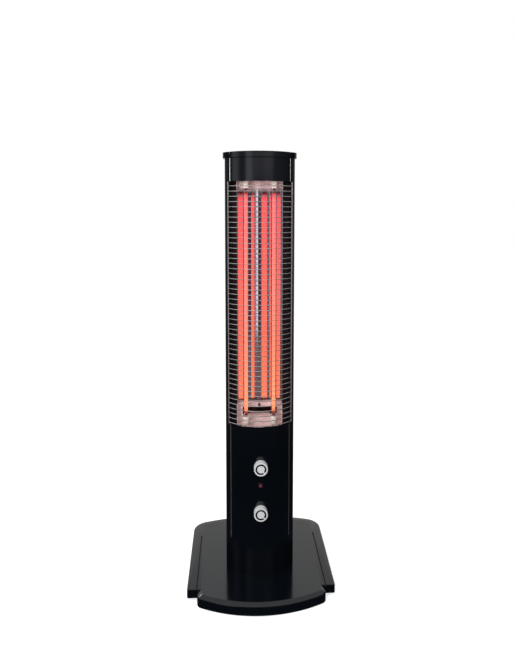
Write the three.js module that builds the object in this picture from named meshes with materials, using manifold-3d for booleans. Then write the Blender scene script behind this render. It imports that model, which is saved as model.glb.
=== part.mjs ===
// Free-standing tower heater: two carbon lamps in a polished double trough behind a curved
// wire guard, on a column of two aluminium pillars that stands on a weighted base.
// Millimetres, +Z up, the front faces -Y, the origin is on the floor under the middle of the base.
import * as THREE from 'three';
import { mergeVertices } from 'three/addons/utils/BufferGeometryUtils.js';
import Module from 'manifold-3d';

const wasm = await Module();
wasm.setup();

// Shared by all pieces: the gap between neighbours, how far a cut runs past what it cuts,
// the play round a screw, and the step to which every coordinate is rounded
const gap = 0.3;
const overrun = 5;
const screwPlay = 0.4;
const roundingStep = 0.0001;

// Base
const baseWidth = 305;
const baseDepth = 323;
const baseHeight = 22.8;
const skirtClearance = 2.5;
const baseFrontRadius = 275;
const baseRearRadius = 430;
const baseFrontCorner = 14;
const baseRearCorner = 38;
const baseWall = 3;
const baseTopWall = 5;
const skirtInset = 3;
const bandWidth = 8.8;
const bandDrop = 4.4;
const wingWidth = 21.5;
const wingSetback = 53;
const wingRise = 4.5;
const wingCorner = 3;
const grooveWidth = 2.6;
const grooveDepth = 3;
const grooveLength = 191;
const bossRadius = 7;
const bossHeight = 6;

// Ballast plate and feet
const ballastSideRoom = 13;
const ballastEndRoom = 46.5;
const ballastThickness = 6;
const ballastCorner = 12;
const footRadius = 11;
const footInset = 17;
const footPlugRadius = 4;

// Column
const towerWidth = 145;
const towerDepth = 124;
const towerSetback = 93.5;
const frontBulge = 38.4;
const rearCorner = 30;
const plinthHeight = 69.7;
const plinthWall = 3;
const plinthFloor = 4;
const plinthLineWidth = 0.8;
const plinthLineDepth = 0.8;
const controlPanelHeight = 251.5;
const windowHeight = 508.5;
const topPanelHeight = 47.1;
const panelThickness = 2;

// Pillars, the lugs on their ends, and the cap between the lugs
const pillarFace = 9.7;
const pillarWall = 2.5;
const pillarLeg = 30;
const lugOverhang = 4;
const lugFrontOverhang = 1.5;
const lugEdge = 2;
const capHeight = 12.4;
const capOverhang = 1;
const capWall = 2.5;

// Rear housing
const housingDepth = 50;
const housingWall = 1.5;
const housingLip = 9;
const housingLipThickness = 1.2;
const ventWidth = 70;
const ventHeight = 4;
const ventPitch = 9;
const ventCount = 8;
const lowerVentRise = 60;
const upperVentDrop = 50;

// Frames of bent sheet at the column's two ends
const frameSheet = 2;
const frameFlange = 26;

// Wire guard
const wireRadius = 0.9;
const wirePitch = 10.55;
const lowestWireRise = 3;
const highestWireDrop = 9;
const guardRodRadius = 1.1;
const guardRodInset = 3.2;
const guardRodClearance = 1;
const hookOffset = 40;
const hookLength = 9;

// Lamps
const lampSpacing = 58.6;
const lampSetback = 39;
const lampLowerRise = 5;
const lampUpperDrop = 7.5;
const tubeRadius = 6;
const tubeWall = 1.2;
const elementWidth = 7;
const elementThickness = 1.2;
const elementInset = 15;
const elementRodRadius = 0.8;
const lampCapRadius = 7.2;
const lampCapSocket = 6;
const lampCapTail = 12;
const lampCapBore = 1.6;

// Lamp leads
const leadRadius = 1;
const leadPlay = 0.8;
const leadStraight = 2;
const leadBow = 4;
const leadRise = 9;
const leadSpread = 5;
const leadNearShare = 0.3;
const leadFarShare = 0.85;

// Clip across the lower ends of the lamps
const clipRise = 5;
const clipHeight = 13;
const clipSheet = 1;
const clipWrapDegrees = 110;

// Reflector and lamp chamber
const chamberFlange = 14.7;
const chamberSheet = 1.2;
const chamberBackRoom = 4.6;
const chamberDrop = 26.5;
const chamberTab = 12;
const chamberPlateSetback = 30;
const reflectorSheet = 0.8;
const reflectorEdgeSetback = 46;
const reflectorFloorSetback = 71.6;
const reflectorSideRake = 1.2;
const reflectorHollowRadius = 60;
const reflectorFlatWidth = 12;
const reflectorFlankRise = 3.7;
const reflectorFlankSag = 0.17;
const reflectorRidgeHalf = 2.3;

// Knobs, and the switch and regulator behind them
const regulatorDrop = 83.8;
const selectorDrop = 98;
const knobRadius = 14.2;
const knobLength = 14;
const knobEdge = 1;
const knobClearance = 1;
const knobRim = 3.2;
const knobRingWidth = 2.6;
const knobGrooveDepth = 1;
const knobRingThickness = 0.6;
const pointerWidth = 2.4;
const pointerDegrees = 48;
const knobRecessRadius = 6.6;
const knobRecessDepth = 2;
const knobBoreDepth = 10;
const shaftRadius = 3;
const shaftSeat = 6;
const bushingRadius = 5;
const bushingStandOut = 0.4;
const switchSize = 32;
const switchDepth = 22;

// Indicator
const indicatorDrop = 40.8;
const lensRadius = 4.5;
const lensDome = 3;
const lensFlangeRadius = 6.2;
const lensFlangeThickness = 1.2;
const lensStemRadius = 4.2;
const lensStemLength = 9;
const holderRadius = 7;
const holderLength = 12;

// Tip-over switch
const tipSwitchWidth = 26;
const tipSwitchDepth = 18;
const tipSwitchHeight = 34;
const tipSwitchWall = 3;
const tipSwitchSetback = 88;
const plungerRadius = 3.6;
const plungerPlay = 0.7;
const plungerFloorGap = 0.4;
const plungerDrop = 5;
const plungerTop = 8;
const collarRadius = 5.6;
const collarThickness = 2;

// Tower bracket and its screws
const bracketSheet = 2.5;
const bracketPlateDepth = 72;
const bracketLegDepth = 24;
const bracketLegHeight = 150;
const screwSpreadX = 90;
const screwSpreadY = 44;
const baseScrewRadius = 2.4;
const baseScrewHeadRadius = 4.5;
const baseScrewHeadHeight = 3;
const nutRadius = 5;
const nutHeight = 5;
const rearScrewRadius = 1.8;
const rearScrewHeadRadius = 3.5;
const rearScrewHeadHeight = 2;
const rearScrewLength = 8;
const rearScrewEdge = 7.5;
const rearScrewInset = 16;

// Electrical parts at the rear
const cutoutWidth = 18;
const cutoutDepth = 8;
const cutoutHeight = 12;
const cutoutDrop = 60;
const terminalWidth = 44;
const terminalDepth = 20;
const terminalHeight = 16;
const terminalHoleRadius = 2.2;
const terminalPitch = 12;
const glandRise = 35;
const glandRadius = 6;
const glandFlangeRadius = 9;
const glandFlangeThickness = 3;
const glandLength = 12;
const glandBore = 3.6;

// Places that follow from the sizes above
const baseFrontY = -baseDepth / 2;
const baseRearY = baseDepth / 2;
const baseTopZ = skirtClearance + baseHeight;
const baseCentreHalf = baseWidth / 2 - wingWidth;
const wingFrontY = baseFrontY + wingSetback;
const ballastTopZ = baseTopZ - baseTopWall - bossHeight - gap;
const ballastZ = ballastTopZ - ballastThickness;
const ballastHalfX = baseCentreHalf - baseWall - ballastSideRoom;
const ballastHalfY = baseDepth / 2 - ballastEndRoom;

const plinthZ = baseTopZ + gap;
const plinthTopZ = plinthZ + plinthHeight;
const towerZ = plinthTopZ + gap;
const windowZ = towerZ + controlPanelHeight;
const topPanelZ = windowZ + windowHeight;
const columnTopZ = topPanelZ + topPanelHeight;
const capZ = columnTopZ + gap;

const towerHalf = towerWidth / 2;
const towerFrontY = baseFrontY + towerSetback;
const towerRearY = towerFrontY + towerDepth;
const towerMiddleY = (towerFrontY + towerRearY) / 2;
const rearFlatHalf = towerHalf - rearCorner;
const frontRadius = (towerHalf ** 2 + frontBulge ** 2) / (2 * frontBulge);
const arcY = towerFrontY + frontRadius;
const pillarInnerX = towerHalf - pillarFace;
const pillarJointY = towerRearY - housingDepth;
const panelHalf = pillarInnerX - gap;

const lampX = lampSpacing / 2;
const lampY = towerFrontY + lampSetback;
const lampZ = windowZ + lampLowerRise;
const lampLength = windowHeight - lampLowerRise - lampUpperDrop;

const reflectorHalf = panelHalf - chamberFlange;
const reflectorEdgeY = towerFrontY + reflectorEdgeSetback;
const reflectorFloorY = towerFrontY + reflectorFloorSetback;
const ridgeY = reflectorFloorY - reflectorFlankRise;
const chamberZ = windowZ - chamberDrop;
const chamberFloorZ = chamberZ - gap - frameSheet;
const chamberTopZ = lampZ + lampLength + lampCapTail + gap;
const chamberBackY = reflectorFloorY + reflectorSheet + chamberBackRoom;
const chamberRearY = chamberBackY + chamberSheet;

const regulatorZ = windowZ - regulatorDrop;
const indicatorZ = regulatorZ - indicatorDrop;
const selectorZ = regulatorZ - selectorDrop;
const bracketZ = plinthZ + plinthFloor + gap;
const bracketTopZ = bracketZ + bracketSheet;
const tipSwitchY = towerFrontY + tipSwitchSetback;
const tipSwitchZ = bracketTopZ + gap;
const bottomFrameZ = towerZ + gap;
const topFrameZ = columnTopZ - gap - frameSheet;

// Steps along the arcs, and the sides of round pieces
const baseSteps = 6;
const columnSteps = 8;
const cornerSteps = 4;
const shortArcSteps = 3;
const wireSteps = 8;
const hollowSteps = 3;
const leadSteps = 16;
const roundSides = 20;
const rodSides = 16;
const smallSides = 12;
const wireSides = 6;
const guardWireSides = 4;

// Finishes
function finish(color, roughness, metalness) {
  return new THREE.MeshStandardMaterial({ color, roughness, metalness });
}

const glossBlack = finish(0x0b0c0e, 0.12, 0);
const satinBlack = finish(0x101113, 0.45, 0);
const anodisedBlack = finish(0x141518, 0.3, 0.6);
const paintedSteel = finish(0x17181a, 0.5, 0.2);
const zincSteel = finish(0x8d9196, 0.4, 1);
const chromedWire = finish(0xb9bcc0, 0.2, 1);
const polishedAluminium = finish(0xd9dadc, 0.12, 1);
const spunAluminium = finish(0xc9cacc, 0.3, 1);
const quartz = finish(0xf2d9cc, 0.05, 0);
const glowingCarbon = finish(0xff7a3c, 0.9, 0);
const ceramic = finish(0xe8e4da, 0.6, 0);
const leadSleeve = finish(0xc9a48e, 0.7, 0);
const rubber = finish(0x151515, 0.9, 0);
const redLens = finish(0x8e1420, 0.2, 0);
const darkSteel = finish(0x2b1f20, 0.5, 0.6);

// A three.js geometry as a solid that can be joined and cut
function solidOf(geometry) {
  const bare = geometry.clone();
  bare.deleteAttribute('normal');
  bare.deleteAttribute('uv');
  const places = bare.attributes.position.array;
  for (let i = 0; i < places.length; i += 1) {
    places[i] = Math.round(places[i] / roundingStep) * roundingStep;
  }
  const merged = mergeVertices(bare, roundingStep);
  const corners = merged.index.array;
  const kept = [];
  for (let i = 0; i < corners.length; i += 3) {
    const [a, b, c] = corners.slice(i, i + 3);
    if (a !== b && b !== c && c !== a) {
      kept.push(a, b, c);
    }
  }
  const mesh = new wasm.Mesh({
    numProp: 3,
    vertProperties: Float32Array.from(merged.attributes.position.array),
    triVerts: Uint32Array.from(kept),
  });
  return new wasm.Manifold(mesh);
}

function geometryOf(solid) {
  const mesh = solid.getMesh();
  const geometry = new THREE.BufferGeometry();
  geometry.setAttribute('position', new THREE.BufferAttribute(mesh.vertProperties, 3));
  geometry.setIndex(new THREE.BufferAttribute(mesh.triVerts, 1));
  const faceted = geometry.toNonIndexed();
  faceted.computeVertexNormals();
  return faceted;
}

function join(first, ...others) {
  let solid = solidOf(first);
  for (const other of others) {
    solid = solid.add(solidOf(other));
  }
  return geometryOf(solid);
}

function cut(first, ...others) {
  let solid = solidOf(first);
  for (const other of others) {
    solid = solid.subtract(solidOf(other));
  }
  return geometryOf(solid);
}

// The same piece on the other side of the column's middle plane, with its faces turned out again
function mirrored(geometry) {
  const flipped = geometry.clone();
  const places = flipped.attributes.position;
  for (let i = 0; i < places.count; i += 3) {
    const corners = [0, 2, 1].map((k) => new THREE.Vector3().fromBufferAttribute(places, i + k));
    corners.forEach((corner, k) => places.setXYZ(i + k, -corner.x, corner.y, corner.z));
  }
  flipped.computeVertexNormals();
  return flipped;
}

// Simple solids between given faces
function box(x0, x1, y0, y1, z0, z1) {
  const geometry = new THREE.BoxGeometry(x1 - x0, y1 - y0, z1 - z0);
  return geometry.translate((x0 + x1) / 2, (y0 + y1) / 2, (z0 + z1) / 2);
}

function sideBox(side, inner, outer, y0, y1, z0, z1) {
  return side > 0 ? box(inner, outer, y0, y1, z0, z1) : box(-outer, -inner, y0, y1, z0, z1);
}

function uprightRod(radius, z0, z1, x, y, sides = rodSides) {
  const geometry = new THREE.CylinderGeometry(radius, radius, z1 - z0, sides);
  return geometry.rotateX(Math.PI / 2).translate(x, y, (z0 + z1) / 2);
}

function levelRod(radius, y0, y1, x, z, sides = rodSides) {
  const geometry = new THREE.CylinderGeometry(radius, radius, y1 - y0, sides);
  return geometry.translate(x, (y0 + y1) / 2, z);
}

function prism(shape, z0, z1, curveSegments = 1) {
  const settings = { depth: z1 - z0, bevelEnabled: false, curveSegments };
  return new THREE.ExtrudeGeometry(shape, settings).translate(0, 0, z0);
}

// A body turned about Y: its outline is a list of [radius, y] corners, on the axis at both ends
// or closed round a bore
function turned(outline, sides = roundSides) {
  const points = outline.map(([radius, y]) => new THREE.Vector2(radius, y));
  if (THREE.ShapeUtils.area(points) < 0) {
    points.reverse();
  }
  if (points[0].x > 0) {
    points.push(points[0].clone());
  }
  return new THREE.LatheGeometry(points, sides);
}

function wire(curve, radius, steps, sides = wireSides) {
  const circle = new THREE.EllipseCurve(0, 0, radius, radius);
  const section = new THREE.Shape(circle.getPoints(sides).slice(0, sides));
  return new THREE.ExtrudeGeometry(section, { steps, bevelEnabled: false, extrudePath: curve });
}

function bothSides(make) {
  return [-1, 1].map(make);
}

// The column's front is one circular arc. Inset is how far inside that arc a surface lies.
function frontYAt(x, inset) {
  return arcY - Math.sqrt((frontRadius - inset) ** 2 - x ** 2);
}

function arcAngle(x, radius) {
  return Math.asin(x / radius) - Math.PI / 2;
}

// Adds the stretch of the column's front arc from one distance off the middle to another.
function addFrontArc(shape, radius, x0, x1) {
  shape.absarc(0, arcY, radius, arcAngle(x0, radius), arcAngle(x1, radius), x0 > x1);
}

function columnShape(inset) {
  const half = towerHalf - inset;
  const radius = frontRadius - inset;
  const corner = rearCorner - inset;
  const cornerY = towerRearY - rearCorner;
  const shape = new THREE.Shape();
  addFrontArc(shape, radius, -half, half);
  shape.absarc(rearFlatHalf, cornerY, corner, 0, Math.PI / 2, false);
  shape.absarc(-rearFlatHalf, cornerY, corner, Math.PI / 2, Math.PI, false);
  shape.closePath();
  return shape;
}

function panelShape() {
  const shape = new THREE.Shape();
  addFrontArc(shape, frontRadius, -panelHalf, panelHalf);
  addFrontArc(shape, frontRadius - panelThickness, panelHalf, -panelHalf);
  shape.closePath();
  return shape;
}

// Places of what repeats
function screwPlaces() {
  const x = screwSpreadX / 2;
  const y = screwSpreadY / 2;
  return [
    ['front_left', -x, towerMiddleY - y],
    ['front_right', x, towerMiddleY - y],
    ['rear_left', -x, towerMiddleY + y],
    ['rear_right', x, towerMiddleY + y],
  ];
}

function footPlaces() {
  const x = ballastHalfX - footInset;
  const y = ballastHalfY - footInset;
  return [
    ['front_left', -x, -y],
    ['front_right', x, -y],
    ['rear_left', -x, y],
    ['rear_right', x, y],
  ];
}

function rearScrewPlaces() {
  const x = rearFlatHalf - rearScrewEdge;
  const low = towerZ + rearScrewInset;
  const high = columnTopZ - rearScrewInset;
  return [
    ['lower_left', -x, low],
    ['lower_right', x, low],
    ['upper_left', -x, high],
    ['upper_right', x, high],
  ];
}

function screwHoles(z1) {
  return screwPlaces().map(([, x, y]) => uprightRod(baseScrewRadius + screwPlay, 0, z1, x, y, smallSides));
}

function rearScrewHoles() {
  const radius = rearScrewRadius + screwPlay;
  return rearScrewPlaces().map(([, x, z]) => {
    return levelRod(radius, towerRearY - rearScrewLength, towerRearY + overrun, x, z, smallSides);
  });
}

function plungerHole(z1) {
  return uprightRod(plungerRadius + plungerPlay, 0, z1, 0, tipSwitchY);
}

// Base: a centre body with a curved front edge that slopes off in a band, and a wing on each
// side, which a groove sets off from the centre
function baseCentreShape(inset) {
  const half = baseCentreHalf - inset;
  const radius = baseFrontRadius - inset;
  const corner = baseFrontCorner - inset;
  const centreY = baseFrontY + baseFrontRadius;
  const cornerX = half - corner;
  const cornerY = centreY - Math.sqrt((radius - corner) ** 2 - cornerX ** 2);
  const turn = Math.atan2(cornerY - centreY, cornerX);
  const rearRadius = baseRearRadius - skirtInset - inset;
  const rearReach = Math.acos(half / rearRadius);
  const shape = new THREE.Shape();
  shape.absarc(-cornerX, cornerY, corner, -Math.PI, -Math.PI - turn, false);
  shape.absarc(0, centreY, radius, -Math.PI - turn, turn, false);
  shape.absarc(cornerX, cornerY, corner, turn, 0, false);
  shape.absarc(0, baseRearY - baseRearRadius, rearRadius, rearReach, Math.PI - rearReach, false);
  shape.closePath();
  return shape;
}

function baseWingShape(inset) {
  const half = baseWidth / 2 - inset;
  const frontCornerX = half - wingCorner;
  const frontCornerY = wingFrontY + inset + wingCorner;
  const radius = baseRearRadius - inset;
  const corner = baseRearCorner - inset;
  const centreY = baseRearY - baseRearRadius;
  const cornerX = half - corner;
  const cornerY = centreY + Math.sqrt((radius - corner) ** 2 - cornerX ** 2);
  const turn = Math.atan2(cornerY - centreY, cornerX);
  const shape = new THREE.Shape();
  shape.absarc(-frontCornerX, frontCornerY, wingCorner, Math.PI, Math.PI * 1.5, false);
  shape.absarc(frontCornerX, frontCornerY, wingCorner, Math.PI * 1.5, Math.PI * 2, false);
  shape.absarc(cornerX, cornerY, corner, 0, turn, false);
  shape.absarc(0, centreY, radius, turn, Math.PI - turn, false);
  shape.absarc(-cornerX, cornerY, corner, Math.PI - turn, Math.PI, false);
  shape.closePath();
  return shape;
}

function baseMoulding() {
  const banded = new THREE.ExtrudeGeometry(baseCentreShape(0), {
    depth: baseHeight - bandDrop,
    curveSegments: baseSteps,
    bevelThickness: bandDrop,
    bevelSize: bandWidth,
    bevelOffset: -bandWidth,
    bevelSegments: 1,
  }).translate(0, 0, skirtClearance);
  const below = box(-baseWidth, baseWidth, -baseDepth, baseDepth, -baseHeight, skirtClearance);
  const wings = prism(baseWingShape(0), skirtClearance + wingRise, baseTopZ, baseSteps);
  const ceilingZ = baseTopZ - baseTopWall;
  const hollow = prism(baseCentreShape(baseWall), -overrun, ceilingZ, baseSteps);
  const middleHalf = baseCentreHalf + baseWall;
  const middle = box(-middleHalf, middleHalf, -baseDepth, baseDepth, -baseHeight, baseTopZ);
  const wingHollows = cut(prism(baseWingShape(baseWall), -overrun, ceilingZ, baseSteps), middle);
  const grooves = bothSides((side) => {
    const x1 = baseCentreHalf + grooveWidth;
    const y0 = wingFrontY - overrun;
    const y1 = wingFrontY + grooveLength;
    return sideBox(side, baseCentreHalf, x1, y0, y1, baseTopZ - grooveDepth, baseTopZ + overrun);
  });
  const shell = cut(join(cut(banded, below), wings), hollow, wingHollows, ...grooves);
  const bosses = screwPlaces().map(([, x, y]) => {
    return uprightRod(bossRadius, ceilingZ - bossHeight, ceilingZ + gap, x, y);
  });
  const throughZ = baseTopZ + overrun;
  return cut(join(shell, ...bosses), ...screwHoles(throughZ), plungerHole(throughZ));
}

function ballastPlate() {
  const cornerX = ballastHalfX - ballastCorner;
  const cornerY = ballastHalfY - ballastCorner;
  const shape = new THREE.Shape();
  shape.absarc(-cornerX, -cornerY, ballastCorner, Math.PI, Math.PI * 1.5, false);
  shape.absarc(cornerX, -cornerY, ballastCorner, Math.PI * 1.5, Math.PI * 2, false);
  shape.absarc(cornerX, cornerY, ballastCorner, 0, Math.PI / 2, false);
  shape.absarc(-cornerX, cornerY, ballastCorner, Math.PI / 2, Math.PI, false);
  shape.closePath();
  const plate = prism(shape, ballastZ, ballastTopZ, shortArcSteps);
  const throughZ = ballastTopZ + overrun;
  const plugHoles = footPlaces().map(([, x, y]) => uprightRod(footPlugRadius + gap, 0, throughZ, x, y));
  return cut(plate, ...screwHoles(throughZ), ...plugHoles, plungerHole(throughZ));
}

function foot() {
  const pad = uprightRod(footRadius, 0, ballastZ - gap, 0, 0, roundSides);
  const plug = uprightRod(footPlugRadius, gap, ballastTopZ - gap, 0, 0, smallSides);
  return join(pad, plug);
}

// Its head is under the ballast plate and its tip in a nut on the tower bracket.
function baseScrew() {
  const headTopZ = ballastZ - gap;
  const head = uprightRod(baseScrewHeadRadius, headTopZ - baseScrewHeadHeight, headTopZ, 0, 0, smallSides);
  const shank = uprightRod(baseScrewRadius, headTopZ - gap, bracketTopZ + nutHeight, 0, 0, smallSides);
  return join(head, shank);
}

// Plinth: a socket with the column's own outline. The lines between pillars and panel run on
// down its front.
function plinth() {
  const outer = prism(columnShape(0), plinthZ, plinthTopZ, columnSteps);
  const hollow = prism(columnShape(plinthWall), plinthZ + plinthFloor, plinthTopZ + overrun, columnSteps);
  const lines = bothSides((side) => {
    const x = side * (panelHalf + gap / 2);
    const y = frontYAt(x, 0);
    const half = plinthLineWidth / 2;
    const z0 = plinthZ - overrun;
    return box(x - half, x + half, y - overrun, y + plinthLineDepth, z0, plinthTopZ + overrun);
  });
  const throughZ = plinthZ + plinthFloor + overrun;
  return cut(outer, hollow, ...lines, ...screwHoles(throughZ), plungerHole(throughZ));
}

const bracketFrontY = frontYAt(panelHalf, plinthWall + gap);

function towerBracket() {
  const y0 = bracketFrontY;
  const plate = box(-panelHalf, panelHalf, y0, y0 + bracketPlateDepth, bracketZ, bracketTopZ);
  const legs = bothSides((side) => {
    const y1 = y0 + bracketLegDepth;
    const z1 = bracketZ + bracketLegHeight;
    return sideBox(side, panelHalf - bracketSheet, panelHalf, y0, y1, bracketZ, z1);
  });
  const nutTopZ = bracketTopZ + nutHeight;
  const nuts = screwPlaces().map(([, x, y]) => {
    return uprightRod(nutRadius, bracketZ, nutTopZ, x, y, wireSides);
  });
  const throughZ = nutTopZ + overrun;
  return cut(join(plate, ...legs, ...nuts), ...screwHoles(throughZ), plungerHole(throughZ));
}

// Pillar: an open channel with its front web on the arc and its outer wall flush with the side
function pillar(side) {
  const inner = frontRadius - pillarWall;
  const wallX = towerHalf - pillarWall;
  const legX = pillarInnerX + pillarWall;
  const legY = frontYAt(pillarInnerX, 0) + pillarLeg;
  const shape = new THREE.Shape();
  addFrontArc(shape, frontRadius, pillarInnerX, towerHalf);
  shape.lineTo(towerHalf, pillarJointY);
  shape.lineTo(wallX, pillarJointY);
  addFrontArc(shape, inner, wallX, legX);
  shape.lineTo(legX, legY);
  shape.lineTo(pillarInnerX, legY);
  shape.closePath();
  const right = prism(shape, towerZ, columnTopZ, shortArcSteps);
  return side > 0 ? right : mirrored(right);
}

function pillarLug(side) {
  const radius = frontRadius + lugFrontOverhang - lugEdge;
  const x0 = pillarInnerX + lugEdge;
  const x1 = towerHalf + lugOverhang - lugEdge;
  const shape = new THREE.Shape();
  addFrontArc(shape, radius, x0, x1);
  shape.lineTo(x1, pillarJointY - lugEdge);
  shape.lineTo(x0, pillarJointY - lugEdge);
  shape.closePath();
  const right = new THREE.ExtrudeGeometry(shape, {
    depth: capHeight - 2 * lugEdge,
    curveSegments: shortArcSteps,
    bevelThickness: lugEdge,
    bevelSize: lugEdge,
    bevelSegments: 3,
  }).translate(0, 0, capZ + lugEdge);
  return side > 0 ? right : mirrored(right);
}

// Cap: a shallow lid, notched at each side for the pillars' lugs
function topCap() {
  const topZ = capZ + capHeight;
  const notches = (half, y) => {
    const z0 = capZ - 2 * overrun;
    return bothSides((side) => sideBox(side, half, towerWidth, -baseDepth, y, z0, topZ + overrun));
  };
  const jointY = pillarJointY + gap;
  const lid = prism(columnShape(-capOverhang), capZ, topZ, columnSteps);
  const body = cut(lid, ...notches(panelHalf, jointY));
  const lining = prism(columnShape(capWall - capOverhang), capZ - overrun, topZ - capWall, columnSteps);
  return cut(body, cut(lining, ...notches(panelHalf - capWall, jointY + capWall)));
}

function controlPanel() {
  const sheet = prism(panelShape(), towerZ, windowZ, columnSteps);
  const hole = (radius, z) => levelRod(radius, towerFrontY - overrun, towerFrontY + overrun, 0, z);
  const bushingHoles = [regulatorZ, selectorZ].map((z) => hole(bushingRadius + gap, z));
  return cut(sheet, ...bushingHoles, hole(lensStemRadius + gap, indicatorZ));
}

// Rear housing: a sheet wrapped round the back, with its edges stepped in to lap inside the pillars
function rearHousing() {
  const y0 = pillarJointY + gap;
  const cornerY = towerRearY - rearCorner;
  const innerCorner = rearCorner - housingWall;
  const innerX = towerHalf - housingWall;
  const lipX = towerHalf - pillarWall - gap;
  const lipInnerX = lipX - housingLipThickness;
  const stepY = y0 + housingWall;
  const lipY = y0 - housingLip;
  const shape = new THREE.Shape();
  shape.absarc(rearFlatHalf, cornerY, rearCorner, 0, Math.PI / 2, false);
  shape.absarc(-rearFlatHalf, cornerY, rearCorner, Math.PI / 2, Math.PI, false);
  shape.lineTo(-towerHalf, y0);
  shape.lineTo(-lipX, y0);
  shape.lineTo(-lipX, lipY);
  shape.lineTo(-lipInnerX, lipY);
  shape.lineTo(-lipInnerX, stepY);
  shape.lineTo(-innerX, stepY);
  shape.absarc(-rearFlatHalf, cornerY, innerCorner, Math.PI, Math.PI / 2, true);
  shape.absarc(rearFlatHalf, cornerY, innerCorner, Math.PI / 2, 0, true);
  shape.lineTo(innerX, stepY);
  shape.lineTo(lipInnerX, stepY);
  shape.lineTo(lipInnerX, lipY);
  shape.lineTo(lipX, lipY);
  shape.lineTo(lipX, y0);
  shape.lineTo(towerHalf, y0);
  shape.closePath();
  const sheet = prism(shape, towerZ, columnTopZ, cornerSteps);
  const throughY = towerRearY + overrun;
  const vents = [];
  for (let i = 0; i < ventCount; i += 1) {
    const step = i * ventPitch;
    for (const z of [towerZ + lowerVentRise + step, columnTopZ - upperVentDrop - step]) {
      const z1 = z + ventHeight;
      vents.push(box(-ventWidth / 2, ventWidth / 2, towerRearY - overrun, throughY, z, z1));
    }
  }
  const glandZ = towerZ + glandRise;
  const glandHole = levelRod(glandRadius + gap, towerRearY - overrun, throughY, 0, glandZ);
  return cut(sheet, ...vents, ...rearScrewHoles(), glandHole);
}

function rearScrew() {
  const head = levelRod(rearScrewHeadRadius, gap, gap + rearScrewHeadHeight, 0, 0, smallSides);
  const shank = levelRod(rearScrewRadius, gap - rearScrewLength, 2 * gap, 0, 0, smallSides);
  return join(head, shank);
}

// Frame: a shelf that fills the column behind the panel, with a flange to the rear housing
function endFrame(shelfZ, flangeZ) {
  const radius = frontRadius - panelThickness - gap;
  const wideY = towerRearY - rearCorner;
  const rearY = towerRearY - housingWall - gap;
  const shape = new THREE.Shape();
  addFrontArc(shape, radius, -panelHalf, panelHalf);
  shape.lineTo(panelHalf, wideY);
  shape.lineTo(rearFlatHalf, wideY);
  shape.lineTo(rearFlatHalf, rearY);
  shape.lineTo(-rearFlatHalf, rearY);
  shape.lineTo(-rearFlatHalf, wideY);
  shape.lineTo(-panelHalf, wideY);
  shape.closePath();
  const shelf = prism(shape, shelfZ, shelfZ + frameSheet, columnSteps);
  const flangeTopZ = flangeZ + frameFlange;
  const flange = box(-rearFlatHalf, rearFlatHalf, rearY - frameSheet, rearY, flangeZ, flangeTopZ);
  return cut(join(shelf, flange), ...rearScrewHoles());
}

function bottomFrame() {
  const legRooms = bothSides((side) => {
    const x0 = panelHalf - bracketSheet - gap;
    const y0 = bracketFrontY - gap;
    const y1 = bracketFrontY + bracketLegDepth + gap;
    return sideBox(side, x0, towerHalf, y0, y1, towerZ - overrun, bottomFrameZ + overrun);
  });
  return cut(endFrame(bottomFrameZ, bottomFrameZ), ...legRooms);
}

function topFrame() {
  return endFrame(topFrameZ, topFrameZ + frameSheet - frameFlange);
}

// Wire guard: level wires bent round the front, welded to two rods that lie on the pillars,
// with four hooks behind the edges of the panels
const guardRadius = frontRadius + gap + guardRodRadius;
const guardHalf = pillarInnerX + guardRodInset;

class GuardArc extends THREE.Curve {
  constructor(z) {
    super();
    this.z = z;
  }

  getPoint(share, target = new THREE.Vector3()) {
    const angle = (2 * share - 1) * Math.asin(guardHalf / guardRadius);
    return target.set(guardRadius * Math.sin(angle), arcY - guardRadius * Math.cos(angle), this.z);
  }
}

function guardHook(x, wireZ, edgeZ) {
  const outY = arcY - Math.sqrt(guardRadius ** 2 - x ** 2);
  const inY = frontYAt(x, panelThickness + gap + wireRadius);
  const endZ = edgeZ + Math.sign(edgeZ - wireZ) * hookLength;
  const arm = levelRod(wireRadius, outY, inY + wireRadius, x, wireZ, wireSides);
  const tongue = uprightRod(wireRadius, Math.min(wireZ, endZ), Math.max(wireZ, endZ), x, inY, wireSides);
  return join(arm, tongue);
}

function wireGuard() {
  const lowestZ = windowZ + lowestWireRise;
  const steps = Math.floor((windowHeight - lowestWireRise - highestWireDrop) / wirePitch);
  const highestZ = lowestZ + steps * wirePitch;
  const pieces = [];
  for (let i = 0; i <= steps; i += 1) {
    pieces.push(wire(new GuardArc(lowestZ + i * wirePitch), wireRadius, wireSteps, guardWireSides));
  }
  for (const side of [-1, 1]) {
    const y = arcY - Math.sqrt(guardRadius ** 2 - guardHalf ** 2);
    const z0 = windowZ + guardRodClearance;
    const z1 = topPanelZ - guardRodClearance;
    pieces.push(uprightRod(guardRodRadius, z0, z1, side * guardHalf, y, wireSides));
    pieces.push(guardHook(side * hookOffset, lowestZ, windowZ));
    pieces.push(guardHook(side * hookOffset, highestZ, topPanelZ));
  }
  return join(...pieces);
}

// A bent sheet: the given corners are its front side, and its thickness lies behind them.
function sheetShape(corners, thickness) {
  const front = corners.map(([x, y]) => new THREE.Vector2(x, y));
  const normals = front.slice(1).map((point, i) => {
    const along = point.clone().sub(front[i]).normalize();
    return new THREE.Vector2(-along.y, along.x);
  });
  const back = front.map((point, i) => {
    const before = normals[Math.max(i - 1, 0)];
    const after = normals[Math.min(i, normals.length - 1)];
    const middle = before.clone().add(after).normalize();
    return point.clone().addScaledVector(middle, thickness / middle.dot(before));
  });
  return new THREE.Shape([...front, ...back.reverse()]);
}

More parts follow.
